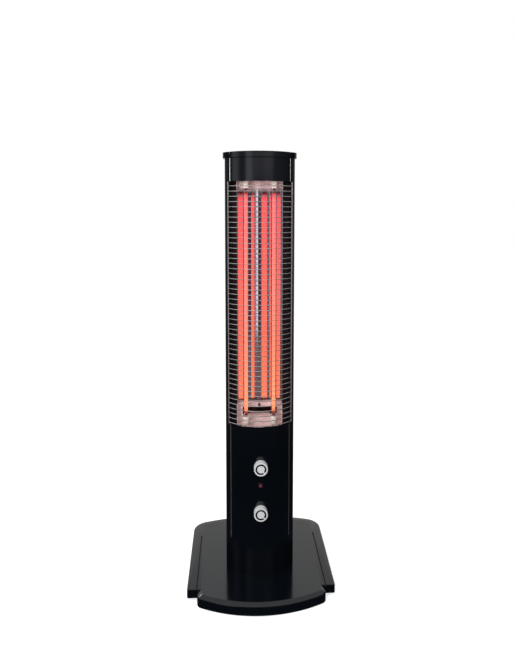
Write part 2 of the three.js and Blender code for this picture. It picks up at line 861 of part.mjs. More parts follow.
// Each trough has a steep outer wall, a hollow floor outside the lamp's axis, a flat floor inside
// it, and a gently sloping flank up to the ridge in the middle.
function reflector() {
  const hollowWidth = reflectorHalf - reflectorSideRake - lampX;
  const hollow = [];
  for (let i = 0; i <= hollowSteps; i += 1) {
    const reach = (hollowWidth * i) / hollowSteps;
    const rise = reach ** 2 / (2 * reflectorHollowRadius);
    hollow.push([lampX + reach, reflectorFloorY - rise]);
  }
  const flatEndX = lampX - reflectorFlatWidth;
  const flankX = (flatEndX + reflectorRidgeHalf) / 2;
  const flankY = (reflectorFloorY + ridgeY) / 2 + reflectorFlankSag;
  const right = [
    [reflectorRidgeHalf, ridgeY],
    [flankX, flankY],
    [flatEndX, reflectorFloorY],
    ...hollow,
    [reflectorHalf, reflectorEdgeY],
  ];
  const left = right.map(([x, y]) => [-x, y]).reverse();
  return prism(sheetShape([...left, ...right], reflectorSheet), chamberZ, chamberTopZ - gap);
}

function lampHousing() {
  const wallX = reflectorHalf + reflectorSheet + gap;
  const corners = [
    [-panelHalf, reflectorEdgeY],
    [-wallX, reflectorEdgeY],
    [-wallX, chamberBackY],
    [wallX, chamberBackY],
    [wallX, reflectorEdgeY],
    [panelHalf, reflectorEdgeY],
  ];
  return prism(sheetShape(corners, chamberSheet), chamberZ, chamberTopZ - gap);
}

// Plate across the chamber's end, with a tab to each pillar and a hole for each lead
function chamberPlate(plateZ, tabZ) {
  const y0 = towerFrontY + chamberPlateSetback;
  const plate = box(-panelHalf, panelHalf, y0, chamberRearY, plateZ, plateZ + frameSheet);
  const tabs = bothSides((side) => {
    return sideBox(side, panelHalf - frameSheet, panelHalf, y0, chamberRearY, tabZ, tabZ + chamberTab);
  });
  const holes = bothSides((side) => {
    const radius = leadRadius + leadPlay;
    return uprightRod(radius, plateZ - overrun, plateZ + overrun, side * lampX, lampY, smallSides);
  });
  return cut(join(plate, ...tabs), ...holes);
}

function chamberFloor() {
  return chamberPlate(chamberFloorZ, chamberFloorZ + frameSheet - chamberTab);
}

function chamberTop() {
  return chamberPlate(chamberTopZ, chamberTopZ);
}

// Clip with a ring round each tube, on a stem with a foot that stands on the reflector's ridge
function tubeClip() {
  const z0 = lampZ + lampCapSocket + clipRise;
  const z1 = z0 + clipHeight;
  const inner = tubeRadius + gap;
  const outer = inner + clipSheet;
  const wrap = THREE.MathUtils.degToRad(clipWrapDegrees);
  const back = Math.PI / 2;
  const rings = bothSides((side) => {
    const shape = new THREE.Shape();
    shape.absarc(side * lampX, lampY, outer, back - wrap, back + wrap, false);
    shape.absarc(side * lampX, lampY, inner, back + wrap, back - wrap, true);
    shape.closePath();
    return prism(shape, z0, z1, cornerSteps);
  });
  const footY = ridgeY - gap;
  const strip = box(-lampX, lampX, lampY + inner, lampY + outer, z0, z1);
  const stem = box(-clipSheet / 2, clipSheet / 2, lampY + inner, footY, z0, z1);
  const foot = box(-reflectorRidgeHalf, reflectorRidgeHalf, footY - clipSheet, footY, z0, z1);
  return join(strip, stem, foot, ...rings);
}

// Carbon lamp, drawn from the lower end of its tube: an open quartz tube, a flat carbon element
// on thin rods, and a ceramic cap on each end
function quartzTube() {
  const inner = tubeRadius - tubeWall;
  const outline = [[inner, 0], [tubeRadius, 0], [tubeRadius, lampLength], [inner, lampLength]];
  return turned(outline).rotateX(Math.PI / 2);
}

const rodReach = lampCapSocket + gap;

function carbonElement() {
  const halfWidth = elementWidth / 2;
  const halfDepth = elementThickness / 2;
  const ribbon = box(-halfWidth, halfWidth, -halfDepth, halfDepth, elementInset, lampLength - elementInset);
  return join(ribbon, uprightRod(elementRodRadius, -rodReach, lampLength + rodReach, 0, 0, wireSides));
}

function lampCap(direction) {
  const socket = tubeRadius + gap;
  const outline = [
    [lampCapBore, gap],
    [socket, gap],
    [socket, -lampCapSocket],
    [lampCapRadius, -lampCapSocket],
    [lampCapRadius, lampCapTail],
    [lampCapBore, lampCapTail],
  ];
  return turned(outline.map(([radius, along]) => [radius, direction * along])).rotateX(Math.PI / 2);
}

function lead(points) {
  const places = points.map(([x, y, z]) => new THREE.Vector3(x, y, z));
  return wire(new THREE.CatmullRomCurve3(places, false, 'centripetal'), leadRadius, leadSteps);
}

// Down from the lamp in a small bow, through the chamber's floor, and on to the regulator
function lowerLead(side) {
  const floorZ = chamberFloorZ - lampZ;
  const endX = side * (leadSpread - lampX);
  const endY = switchFrontY + switchDepth / 2 - lampSetback;
  const endZ = regulatorZ + switchSize / 2 + gap - lampZ;
  return lead([
    [0, 0, -rodReach - gap],
    [0, 0, -lampCapTail - leadStraight],
    [-leadBow, 0, (floorZ + frameSheet - lampCapTail) / 2],
    [0, 0, floorZ + frameSheet + leadStraight],
    [0, 0, floorZ - leadStraight],
    [endX, endY, endZ + leadRise],
    [endX, endY, endZ],
  ]);
}

// Up through the chamber's top, back over it, and down to the thermal cut-out
function upperLead(side) {
  const plateZ = chamberTopZ + frameSheet - lampZ;
  const endX = side * (leadSpread - lampX);
  const endY = chamberRearY + gap + cutoutDepth / 2 - lampY;
  const endZ = chamberTopZ - cutoutDrop + gap - lampZ;
  return lead([
    [0, 0, lampLength + rodReach + gap],
    [0, 0, plateZ + leadStraight],
    [leadNearShare * endX, leadNearShare * endY, plateZ + leadRise],
    [leadFarShare * endX, leadFarShare * endY, plateZ + leadRise],
    [endX, endY, plateZ],
    [endX, endY, endZ],
  ]);
}

// Controls, drawn from the point where their axis meets the panel's front
const switchFrontY = frontYAt(switchSize / 2, panelThickness) + gap - towerFrontY;
const ringOuter = knobRadius - knobRim;
const ringInner = ringOuter - knobRingWidth;
const knobFrontY = -knobClearance - knobLength;

function switchBody() {
  const half = switchSize / 2;
  const block = box(-half, half, switchFrontY, switchFrontY + switchDepth, -half, half);
  const bushing = levelRod(bushingRadius, -bushingStandOut, switchFrontY + gap, 0, 0);
  const bore = levelRod(shaftRadius + gap, -overrun, switchFrontY + shaftSeat + gap, 0, 0);
  return cut(join(block, bushing), bore);
}

function controlShaft() {
  return levelRod(shaftRadius, gap - knobClearance - knobBoreDepth, switchFrontY + shaftSeat, 0, 0);
}

// A bar from the knob's axis to its rim, in the direction in which the pointer stands
function pointerBar(width, y0, y1) {
  const bar = box(0, knobRadius + overrun, y0, y1, -width / 2, width / 2);
  return bar.rotateY(THREE.MathUtils.degToRad(pointerDegrees));
}

function faceRing(inner, outer, y0, y1) {
  return turned([[inner, y0], [outer, y0], [outer, y1], [inner, y1]]);
}

function knob() {
  const backY = -knobClearance;
  const bore = shaftRadius + gap;
  const body = turned([
    [0, knobFrontY],
    [knobRadius - knobEdge, knobFrontY],
    [knobRadius, knobFrontY + knobEdge],
    [knobRadius, backY],
    [knobRecessRadius, backY],
    [knobRecessRadius, backY - knobRecessDepth],
    [bore, backY - knobRecessDepth],
    [bore, backY - knobBoreDepth],
    [0, backY - knobBoreDepth],
  ]);
  const groove = faceRing(ringInner, ringOuter, knobFrontY - overrun, knobFrontY + knobGrooveDepth);
  const bridge = pointerBar(pointerWidth, knobFrontY - 2 * overrun, knobFrontY + overrun);
  return cut(body, cut(groove, bridge));
}

function knobRing() {
  const backY = knobFrontY + knobGrooveDepth - gap;
  const ring = faceRing(ringInner + gap, ringOuter - gap, backY - knobRingThickness, backY);
  return cut(ring, pointerBar(pointerWidth + 2 * gap, knobFrontY - overrun, knobFrontY + overrun));
}

function indicatorLens() {
  const dome = [];
  const domeSteps = 4;
  for (let i = 0; i <= domeSteps; i += 1) {
    const angle = (i / domeSteps) * Math.PI / 2;
    dome.push([lensRadius * Math.sin(angle), -gap - lensFlangeThickness - lensDome * Math.cos(angle)]);
  }
  return turned([
    ...dome,
    [lensFlangeRadius, -gap - lensFlangeThickness],
    [lensFlangeRadius, -gap],
    [lensStemRadius, -gap],
    [lensStemRadius, lensStemLength],
    [0, lensStemLength],
  ]);
}

function indicatorHolder() {
  const y0 = frontYAt(holderRadius, panelThickness) + gap - towerFrontY;
  const bore = lensStemRadius + gap;
  return turned([
    [bore, y0],
    [holderRadius, y0],
    [holderRadius, y0 + holderLength],
    [0, y0 + holderLength],
    [0, lensStemLength + gap],
    [bore, lensStemLength + gap],
  ].reverse());
}

// Tip-over switch: the plunger's collar keeps it in the switch, above the hole in the floor.
function tipSwitchBody() {
  const half = tipSwitchWidth / 2;
  const halfDepth = tipSwitchDepth / 2;
  const body = box(-half, half, -halfDepth, halfDepth, 0, tipSwitchHeight);
  const chamberRoofZ = tipSwitchHeight - tipSwitchWall;
  const mouth = uprightRod(plungerRadius + plungerPlay, -overrun, tipSwitchWall + gap, 0, 0);
  const chamber = uprightRod(collarRadius + plungerPlay, tipSwitchWall, chamberRoofZ, 0, 0);
  return cut(body, mouth, chamber);
}

function tipSwitchPlunger() {
  const collarZ = tipSwitchWall + plungerDrop + gap;
  const collarTopZ = collarZ + collarThickness;
  const tipZ = plungerFloorGap - tipSwitchZ;
  const collar = uprightRod(collarRadius, collarZ, collarTopZ, 0, 0);
  const rod = uprightRod(plungerRadius, tipZ, collarTopZ + plungerTop, 0, 0);
  return join(collar, rod);
}

// Electrical parts at the rear
function thermalCutout() {
  const half = cutoutWidth / 2;
  return box(-half, half, 0, cutoutDepth, -cutoutHeight, 0);
}

function terminalBlock() {
  const half = terminalWidth / 2;
  const block = box(-half, half, -terminalDepth, 0, 0, terminalHeight);
  const y0 = -terminalDepth - overrun;
  const holes = [-1, 0, 1].map((place) => {
    const x = place * terminalPitch;
    return levelRod(terminalHoleRadius, y0, overrun, x, terminalHeight / 2, smallSides);
  });
  return cut(block, ...holes);
}

function cordGland() {
  return turned([
    [glandBore, gap - glandLength],
    [glandRadius, gap - glandLength],
    [glandRadius, gap],
    [glandFlangeRadius, gap],
    [glandFlangeRadius, gap + glandFlangeThickness],
    [glandBore, gap + glandFlangeThickness],
  ]);
}

// The assembly
function part(name, geometry, material, x = 0, y = 0, z = 0) {
  const mesh = new THREE.Mesh(geometry, material);
  mesh.name = name;
  mesh.position.set(x, y, z);
  return mesh;
}

function baseGroup() {
  const group = new THREE.Group();
  group.add(part('base_moulding', baseMoulding(), glossBlack));
  group.add(part('ballast_plate', ballastPlate(), zincSteel));
  for (const [place, x, y] of footPlaces()) {
    group.add(part(`foot_${place}`, foot(), rubber, x, y));
  }
  for (const [place, x, y] of screwPlaces()) {
    group.add(part(`base_screw_${place}`, baseScrew(), zincSteel, x, y));
  }
  return group;
}

function columnGroup() {
  const group = new THREE.Group();
  group.add(part('plinth', plinth(), glossBlack));
  group.add(part('tower_bracket', towerBracket(), zincSteel));
  for (const [name, side] of [['left', -1], ['right', 1]]) {
    group.add(part(`${name}_pillar`, pillar(side), anodisedBlack));
    group.add(part(`${name}_pillar_cap`, pillarLug(side), glossBlack));
  }
  group.add(part('control_panel', controlPanel(), glossBlack));
  group.add(part('top_front_panel', prism(panelShape(), topPanelZ, columnTopZ, columnSteps), glossBlack));
  group.add(part('top_cap', topCap(), glossBlack));
  group.add(part('rear_housing', rearHousing(), paintedSteel));
  group.add(part('bottom_frame', bottomFrame(), zincSteel));
  group.add(part('top_frame', topFrame(), zincSteel));
  for (const [place, x, z] of rearScrewPlaces()) {
    group.add(part(`rear_screw_${place}`, rearScrew(), zincSteel, x, towerRearY, z));
  }
  return group;
}

function lampGroup(name, side) {
  const group = new THREE.Group();
  group.position.set(side * lampX, lampY, lampZ);
  group.add(part(`${name}_quartz_tube`, quartzTube(), quartz));
  group.add(part(`${name}_carbon_element`, carbonElement(), glowingCarbon));
  group.add(part(`${name}_lower_lamp_cap`, lampCap(-1), ceramic));
  group.add(part(`${name}_upper_lamp_cap`, lampCap(1), ceramic, 0, 0, lampLength));
  group.add(part(`${name}_lower_lead`, lowerLead(side), leadSleeve));
  group.add(part(`${name}_upper_lead`, upperLead(side), leadSleeve));
  return group;
}

function chamberGroup() {
  const group = new THREE.Group();
  const cutoutZ = chamberTopZ - cutoutDrop;
  group.add(part('wire_guard', wireGuard(), chromedWire));
  group.add(part('reflector', reflector(), polishedAluminium));
  group.add(part('lamp_housing', lampHousing(), satinBlack));
  group.add(part('chamber_floor', chamberFloor(), zincSteel));
  group.add(part('chamber_top', chamberTop(), zincSteel));
  group.add(part('lower_tube_clip', tubeClip(), darkSteel));
  group.add(part('thermal_cutout', thermalCutout(), satinBlack, 0, chamberRearY + gap, cutoutZ));
  group.add(lampGroup('left', -1), lampGroup('right', 1));
  return group;
}

function controlGroup(name, z) {
  const group = new THREE.Group();
  group.position.set(0, towerFrontY, z);
  group.add(part(`${name}_body`, switchBody(), satinBlack));
  group.add(part(`${name}_shaft`, controlShaft(), zincSteel));
  group.add(part(`${name}_knob`, knob(), spunAluminium));
  group.add(part(`${name}_knob_ring`, knobRing(), satinBlack));
  return group;
}

function indicatorGroup() {
  const group = new THREE.Group();
  group.position.set(0, towerFrontY, indicatorZ);
  group.add(part('indicator_lens', indicatorLens(), redLens));
  group.add(part('indicator_holder', indicatorHolder(), satinBlack));
  return group;
}

function tipSwitchGroup() {
  const group = new THREE.Group();
  group.position.set(0, tipSwitchY, tipSwitchZ);
  group.add(part('tip_switch_body', tipSwitchBody(), satinBlack));
  group.add(part('tip_switch_plunger', tipSwitchPlunger(), satinBlack));
  return group;
}

function supplyGroup() {
  const group = new THREE.Group();
  const flangeY = towerRearY - housingWall - gap - frameSheet;
  const shelfTopZ = bottomFrameZ + frameSheet;
  group.add(part('terminal_block', terminalBlock(), ceramic, 0, flangeY - gap, shelfTopZ + gap));
  group.add(part('cord_gland', cordGland(), satinBlack, 0, towerRearY, towerZ + glandRise));
  return group;
}

const towerHeater = new THREE.Group();
towerHeater.add(baseGroup(), columnGroup(), chamberGroup());
towerHeater.add(controlGroup('regulator', regulatorZ), controlGroup('selector', selectorZ));
towerHeater.add(indicatorGroup(), tipSwitchGroup(), supplyGroup());

export default towerHeater;
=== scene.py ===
# %% [markdown]
# A free-standing tower heater: two carbon lamps in a polished double trough behind a curved wire
# guard, on a slim black column with a wide, flat, glossy base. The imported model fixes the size
# and place of every piece, so it is loaded first and everything else is built round its boxes.
# Lengths are metres, Z is up, and the heater faces -Y.

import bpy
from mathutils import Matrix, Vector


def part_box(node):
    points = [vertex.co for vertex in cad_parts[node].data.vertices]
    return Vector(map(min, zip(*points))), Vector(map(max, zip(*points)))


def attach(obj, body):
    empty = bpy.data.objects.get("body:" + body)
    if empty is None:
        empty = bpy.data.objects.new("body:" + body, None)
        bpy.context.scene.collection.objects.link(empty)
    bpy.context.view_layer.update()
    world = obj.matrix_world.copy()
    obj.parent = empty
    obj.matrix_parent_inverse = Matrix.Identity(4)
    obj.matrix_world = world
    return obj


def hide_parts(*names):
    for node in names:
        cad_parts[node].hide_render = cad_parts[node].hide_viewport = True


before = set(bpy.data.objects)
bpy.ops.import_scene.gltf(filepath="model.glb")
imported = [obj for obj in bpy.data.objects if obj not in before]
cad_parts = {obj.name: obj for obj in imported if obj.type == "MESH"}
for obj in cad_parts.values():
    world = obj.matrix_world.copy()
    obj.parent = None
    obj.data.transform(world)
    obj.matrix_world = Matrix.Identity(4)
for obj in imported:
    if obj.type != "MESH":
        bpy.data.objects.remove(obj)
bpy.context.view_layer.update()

# %% [markdown]
# The camera comes next, because it decides what has to be seen. It stands a good metre in front
# of the heater, a little to the left, just above the middle of the lamps, and looks slightly down.
# The heater sits right of the lens axis and low in the picture, which a lens shift gives without
# turning the camera: the upright edges then keep the small lean that the photograph has.

# %% Camera
from math import acos, asin, atan2, cos, radians, sin, sqrt

import bmesh
import bpy
from mathutils import Matrix, Vector

MM = 0.001
camera_place = Vector((-54.9, -1211.7, 802.3)) * MM
camera_pitch = radians(4.94)
camera_yaw = radians(3.37)
camera_roll = radians(-0.085)
sensor_size = 36.0
focal_length = 30.99
lens_shift = (-0.01435, -0.1111)


def put_in_scene(name, data):
    """Puts a mesh, a curve, a lamp or a camera into the scene as an object of that name."""
    thing = bpy.data.objects.new(name, data)
    bpy.context.scene.collection.objects.link(thing)
    return thing


camera = put_in_scene("camera", bpy.data.cameras.new("camera"))
bpy.context.scene.camera = camera
camera.location = camera_place
camera.rotation_euler = (radians(90) - camera_pitch, camera_roll, -camera_yaw)
camera.data.sensor_width = sensor_size
camera.data.lens = focal_length
camera.data.shift_x, camera.data.shift_y = lens_shift
print(f"camera {camera_place.length:.2f} m from the base, lens {focal_length} mm")

# %% [markdown]
# Most of the heater is bent sheet, moulded plastic and turned metal, so a few small helpers carry
# the work. An outline in plan is a list of moves, as with a ruler and a compass: a straight edge
# to a point, or an arc round one, which a spin of the last corner leaves behind. An outline is
# filled and raised, a sheet is one edge swept round the column, and a turned piece is a closed
# section swept all the way.

# %% Drawing helpers
UP = (0, 0, 1)
BACK = (0, 1, 0)
ACROSS = (1, 0, 0)


def sweep(bm, geom, centre, angle, steps, axis=UP, **more):
    """Spins geometry about an axis and returns what lies at the far end."""
    turn = {"cent": centre, "axis": axis, "angle": angle, "steps": steps}
    return bmesh.ops.spin(bm, geom=geom, **turn, **more)["geom_last"]


def pull(bm, faces, step, **more):
    """Extrudes faces by a step."""
    made = bmesh.ops.extrude_face_region(bm, geom=faces, **more)
    moved = [g for g in made["geom"] if isinstance(g, bmesh.types.BMVert)]
    bmesh.ops.translate(bm, verts=moved, vec=step)


def trace(bm, start, moves, z=0.0):
    """Draws an outline and returns its corners: (x, y) is a straight edge to there, and
    (x, y, angle, steps) is an arc round there."""
    corners = [bm.verts.new((*start, z))]
    for x, y, *arc in moves:
        if arc:
            corner = sweep(bm, [corners[-1]], (x, y, 0), *arc)[0]
        else:
            corner = bm.verts.new((x, y, z))
            bm.edges.new((corners[-1], corner))
        corners.append(corner)
    return corners


def raised(start, moves, z0, z1):
    """Closes and fills an outline, and raises it into a solid from z0 to z1."""
    bm = bmesh.new()
    corners = trace(bm, start, moves)
    bm.edges.new((corners[-1], corners[0]))
    bmesh.ops.contextual_create(bm, geom=bm.edges[:])
    bmesh.ops.translate(bm, verts=bm.verts[:], vec=(0, 0, z0))
    pull(bm, bm.faces[:], (0, 0, z1 - z0))
    return bm


def edge_between(bm, *corners):
    """One edge with its two ends, ready to be swept."""
    edge = bm.edges.new([bm.verts.new(corner) for corner in corners])
    return [*edge.verts, edge]


print("outlines can be drawn, raised and swept")

# %% Blocks, turned pieces and rounded edges
def mirror_across(bm):
    """Turns a piece of the right-hand side into the one on the left."""
    bmesh.ops.scale(bm, verts=bm.verts[:], vec=(-1, 1, 1))
    bmesh.ops.recalc_face_normals(bm, faces=bm.faces[:])
    return bm


def block(x0, x1, y0, y1, z0, z1):
    """A plain block between six faces, for cutting with and for building on."""
    bm = bmesh.new()
    size = Vector((x1 - x0, y1 - y0, z1 - z0))
    middle = Vector((x0 + x1, y0 + y1, z0 + z1)) / 2
    place = Matrix.Translation(middle) @ Matrix.Diagonal((*size, 1))
    bmesh.ops.create_cube(bm, size=1, matrix=place)
    return bm


def lathe(outline, axis, centre, steps=64):
    """Turns a closed outline of (radius, distance along the axis) corners about the axis."""
    bm = bmesh.new()
    spots = [Vector(centre) + r * Vector(ACROSS) + a * Vector(axis) for r, a in outline]
    corners = [bm.verts.new(spot) for spot in spots]
    for corner, following in zip(corners, corners[1:] + corners[:1]):
        bm.edges.new((corner, following))
    geom = bm.verts[:] + bm.edges[:]
    sweep(bm, geom, centre, radians(360), steps, axis, use_merge=True)
    bmesh.ops.remove_doubles(bm, verts=bm.verts[:], dist=0.001 * MM)
    bmesh.ops.recalc_face_normals(bm, faces=bm.faces[:])
    return bm


def round_off(bm, geom, radius, segments=4, affect="EDGES"):
    """Rounds chosen edges or corners of a mesh."""
    settings = {"affect": affect, "segments": segments, "profile": 0.5, "material": -1}
    bmesh.ops.bevel(bm, geom=geom, offset=radius, **settings)


print("blocks, a lathe and rounded edges are ready")

# %% [markdown]
# Two meshes are cut or joined with an exact boolean, whose result replaces the first mesh. A real
# edge is never perfectly sharp: a mould leaves about half a millimetre of radius, and a press
# leaves less. A Bevel modifier limited by angle gives every hard corner that radius and keeps the
# flat faces flat, so each edge catches a thin line of light.

# %% Solids, booleans and finishing
def solid(name, bm):
    """Puts a mesh into the scene as an object of that name."""
    bmesh.ops.recalc_face_normals(bm, faces=bm.faces[:])
    mesh = bpy.data.meshes.new(name)
    bm.to_mesh(mesh)
    bm.free()
    return put_in_scene(name, mesh)


def mesh_of(shape):
    """A shape's mesh as its modifiers or its curve settings leave it."""
    evaluated = shape.evaluated_get(bpy.context.evaluated_depsgraph_get())
    return bpy.data.meshes.new_from_object(evaluated)


def combine(shape, bm, operation="DIFFERENCE"):
    """Cuts a mesh out of a shape, or joins it on, and keeps only the result."""
    tool = solid("tool", bm)
    step = shape.modifiers.new("cut", "BOOLEAN")
    step.object = tool
    step.operation = operation
    step.solver = "EXACT"
    result = mesh_of(shape)
    shape.modifiers.clear()
    shape.data = result
    bpy.data.objects.remove(tool)
    return shape


def finish_piece(shape, body, slot, finish, *replaced, edge=0.0, segments=3, smooth=30):
    """Gives a shape soft edges, smooth curves, its finish and its body, and prints its slot."""
    mesh = shape.data
    mesh.materials.clear()
    mesh.materials.append(finish)
    mesh.shade_smooth()
    mesh.set_sharp_from_angle(angle=radians(smooth))
    if edge:
        soft = shape.modifiers.new("soft_edges", "BEVEL")
        soft.width = edge
        soft.segments = segments
        soft.limit_method = "ANGLE"
        soft.angle_limit = radians(smooth)
        soft.harden_normals = True
    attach(shape, body)
    if replaced:
        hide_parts(*replaced)
    print(f"{shape.name}: {len(mesh.polygons)} faces, {slot}")
    return shape


print("solids, booleans and finishing are ready")

# %% [markdown]
# A finish is a small network of nodes round one Principled shader. Colours are written as the
# sRGB hex values that a paint chart or a picture would give, and one function turns them into the
# linear values that the shader needs. One more function adds any node with its settings and links,
# and a last one lets a pattern change the roughness, the relief or the colour of a finish.

# %% Material helpers
def colour(hex_code):
    """An sRGB hex colour as linear red, green, blue and alpha."""
    channels = [int(hex_code[i:i + 2], 16) / 255 for i in (1, 3, 5)]
    linear = [c / 12.92 if c <= 0.04045 else ((c + 0.055) / 1.055) ** 2.4 for c in channels]
    return (*linear, 1.0)


def add_node(tree, kind, values=None, links=None, stops=(), **settings):
    """Adds a node: settings are its own fields, values fill sockets, links feed them, and stops
    are the places and colours of a ramp."""
    node = tree.nodes.new("ShaderNode" + kind)
    for field, value in settings.items():
        setattr(node, field, value)
    for socket, value in (values or {}).items():
        node.inputs[socket].default_value = value
    for socket, source in (links or {}).items():
        tree.links.new(source, node.inputs[socket])
    if stops:
        elements = node.color_ramp.elements
        elements.remove(elements[1])
        elements[0].position = stops[0][0]
        elements[0].color = colour(stops[0][1])
        for position, tone in stops[1:]:
            elements.new(position).color = colour(tone)
    return node


def bare_material(name):
    """A material whose node tree is still empty."""
    material = bpy.data.materials.new(name)
    material.use_nodes = True
    material.node_tree.nodes.clear()
    return material, material.node_tree


def new_finish(name, hex_code, **values):
    """A material with one Principled shader; returns it with its tree, shader and place."""
    finish, tree = bare_material(name)
    shader = add_node(tree, "BsdfPrincipled", {"Base Color": colour(hex_code)})
    for socket, value in values.items():
        shader.inputs[socket.replace("_", " ")].default_value = value
    add_node(tree, "OutputMaterial", links={"Surface": shader.outputs[0]})
    place = add_node(tree, "TexCoord").outputs["Object"]
    return finish, tree, shader, place


def vary(tree, shader, pattern, rough=None, relief=None, tones=None):
    """Lets a pattern change a finish: rough is its least and most roughness, relief the strength
    and the depth in millimetres of a bump, and tones the stops of its colours."""
    if rough:
        least_most = {"To Min": rough[0], "To Max": rough[1]}
        haze = add_node(tree, "MapRange", least_most, {"Value": pattern})
        tree.links.new(haze.outputs[0], shader.inputs["Roughness"])
    if relief:
        depth = {"Strength": relief[0], "Distance": relief[1] * MM}
        bump = add_node(tree, "Bump", depth, {"Height": pattern})
        tree.links.new(bump.outputs[0], shader.inputs["Normal"])
    if tones:
        ramp = add_node(tree, "ValToRGB", links={"Fac": pattern}, stops=tones)
        tree.links.new(ramp.outputs[0], shader.inputs["Base Color"])


def scale_of(millimetres):
    """The texture scale at which one feature is about that many millimetres wide."""
    return 1 / (millimetres * MM)


print("colour, nodes and finishes are ready")

# %% [markdown]
# The base, plinth, cap and lugs are ABS moulded against a mirror-polished tool, the finish that
# is sold as piano black. The eye sees almost no body colour, only the mirror image of the room. A
# very weak orange peel, a few millimetres from bump to bump, bends that image a little, and a
# thin film of dust and wiping marks makes the reflection uneven.

# %% Gloss black ABS
abs_black = "#04070B"
peel_size = 4.0
smear_size = 60.0


def gloss_black_finish(name):
    finish, tree, shader, place = new_finish(name, abs_black, IOR=1.45)
    film_and_painted_glow = {"Scale": scale_of(smear_size), "Detail": 4}
    smear = add_node(tree, "TexNoise", film_and_painted_glow, {"Vector": place})
    vary(tree, shader, smear.outputs[0], rough=(0.08, 0.18))
    bumps = {"Scale": scale_of(peel_size), "Detail": 1}
    peel = add_node(tree, "TexNoise", bumps, {"Vector": place})
    vary(tree, shader, peel.outputs[0], relief=(0.15, 0.02))
    return finish


gloss_black = gloss_black_finish("gloss_black_abs")
print(f"{gloss_black.name}: orange peel every {peel_size} mm")

# %% [markdown]
# The base is one big moulding. Its centre body has a front edge that curves from side to side and
# slopes off in a band, and a thinner wing with a rounded rear corner runs along each side. A
# groove sets each wing off from the centre. Both plans are outlines, the slope is an inset whose
# inside is lifted, and an exact union and a few cuts give the moulding.

# %% Base plans
base_low, base_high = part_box("base_moulding")
base_front_radius = 275 * MM
base_rear_radius = 430 * MM
base_front_corner = 14 * MM
base_rear_corner = 38 * MM
base_rear_recess = 3 * MM
wing_width = 21.5 * MM
wing_setback = 53 * MM
wing_rise = 4.5 * MM
wing_corner = 3 * MM
centre_half = base_high.x - wing_width
wing_front = base_low.y + wing_setback


def base_centre_plan(inset):
    """The centre body's outline, that far inside its rim: its start and its moves."""
    half = centre_half - inset
    radius = base_front_radius - inset
    corner = base_front_corner - inset
    centre_y = base_low.y + base_front_radius
    corner_x = half - corner
    corner_y = centre_y - sqrt((radius - corner) ** 2 - corner_x ** 2)
    turn = atan2(centre_y - corner_y, corner_x)
    rear_radius = base_rear_radius - base_rear_recess - inset
    reach = acos(half / rear_radius)
    rear_y = base_high.y - base_rear_radius
    return (-half, corner_y), [
        (-corner_x, corner_y, turn, 8),
        (0, centre_y, radians(180) - 2 * turn, 40),
        (corner_x, corner_y, turn, 8),
        (half, rear_y + rear_radius * sin(reach)),
        (0, rear_y, radians(180) - 2 * reach, 24),
    ]


def base_wing_plan(inset):
    """The outline of both wings and what lies between them."""
    half = base_high.x - inset
    front_y = wing_front + inset
    radius = base_rear_radius - inset
    corner = base_rear_corner - inset
    centre_y = base_high.y - base_rear_radius
    corner_x = half - corner
    corner_y = centre_y + sqrt((radius - corner) ** 2 - corner_x ** 2)
    turn = atan2(corner_y - centre_y, corner_x)
    return (-half, front_y + wing_corner), [
        (wing_corner - half, front_y + wing_corner, radians(90), 6),
        (half - wing_corner, front_y),
        (half - wing_corner, front_y + wing_corner, radians(90), 6),
        (half, corner_y),
        (corner_x, corner_y, turn, 16),
        (0, centre_y, radians(180) - 2 * turn, 48),
        (-corner_x, corner_y, turn, 16),
    ]


print(f"base {2 * base_high.x:.3f} m wide, centre body {2 * centre_half:.3f} m wide")

# %% Base moulding
band_width = 8.8 * MM
band_drop = 4.4 * MM
rim_round = 1.2 * MM
base_wall = 3 * MM
base_ceiling = 5 * MM
beyond = 5 * MM
ceiling_z = base_high.z - base_ceiling


def upward_faces(bm):
    """The faces that look up."""
    return [face for face in bm.faces if face.normal.z > 0.9]


def edges_at(bm, z):
    """The edges that lie at one height."""
    near = 0.01 * MM
    return [edge for edge in bm.edges if all(abs(vert.co.z - z) < near for vert in edge.verts)]


def base_moulding():
    rim_z = base_high.z - band_drop
    bm = raised(*base_centre_plan(0), base_low.z, rim_z)
    bmesh.ops.recalc_face_normals(bm, faces=bm.faces[:])
    top = upward_faces(bm)
    bmesh.ops.inset_region(bm, faces=top, thickness=band_width, depth=0, use_even_offset=True)
    lifted = {vert for face in top for vert in face.verts}
    bmesh.ops.translate(bm, verts=list(lifted), vec=(0, 0, band_drop))
    round_off(bm, edges_at(bm, rim_z), rim_round)
    wings = raised(*base_wing_plan(0), base_low.z + wing_rise, base_high.z)
    round_off(wings, edges_at(wings, base_high.z), rim_round)
    return combine(solid("base", bm), wings, "UNION")


def hollow_out_base(shape):
    """One pocket under the centre body and one under each wing."""
    open_z = base_low.z - beyond
    combine(shape, raised(*base_centre_plan(base_wall), open_z, ceiling_z))
    pockets = solid("pockets", raised(*base_wing_plan(base_wall), open_z, ceiling_z))
    middle = centre_half + base_wall
    combine(pockets, block(-middle, middle, -1, 1, -1, 1))
    cutter = bmesh.new()
    cutter.from_mesh(pockets.data)
    bpy.data.objects.remove(pockets)
    combine(shape, cutter)


base = base_moulding()
hollow_out_base(base)
print(f"base moulding hollowed to {ceiling_z:.4f} m")

# %% Grooves of the base
groove_width = 2.6 * MM
groove_depth = 3 * MM
groove_length = 191 * MM
groove_bottom_share = 0.2


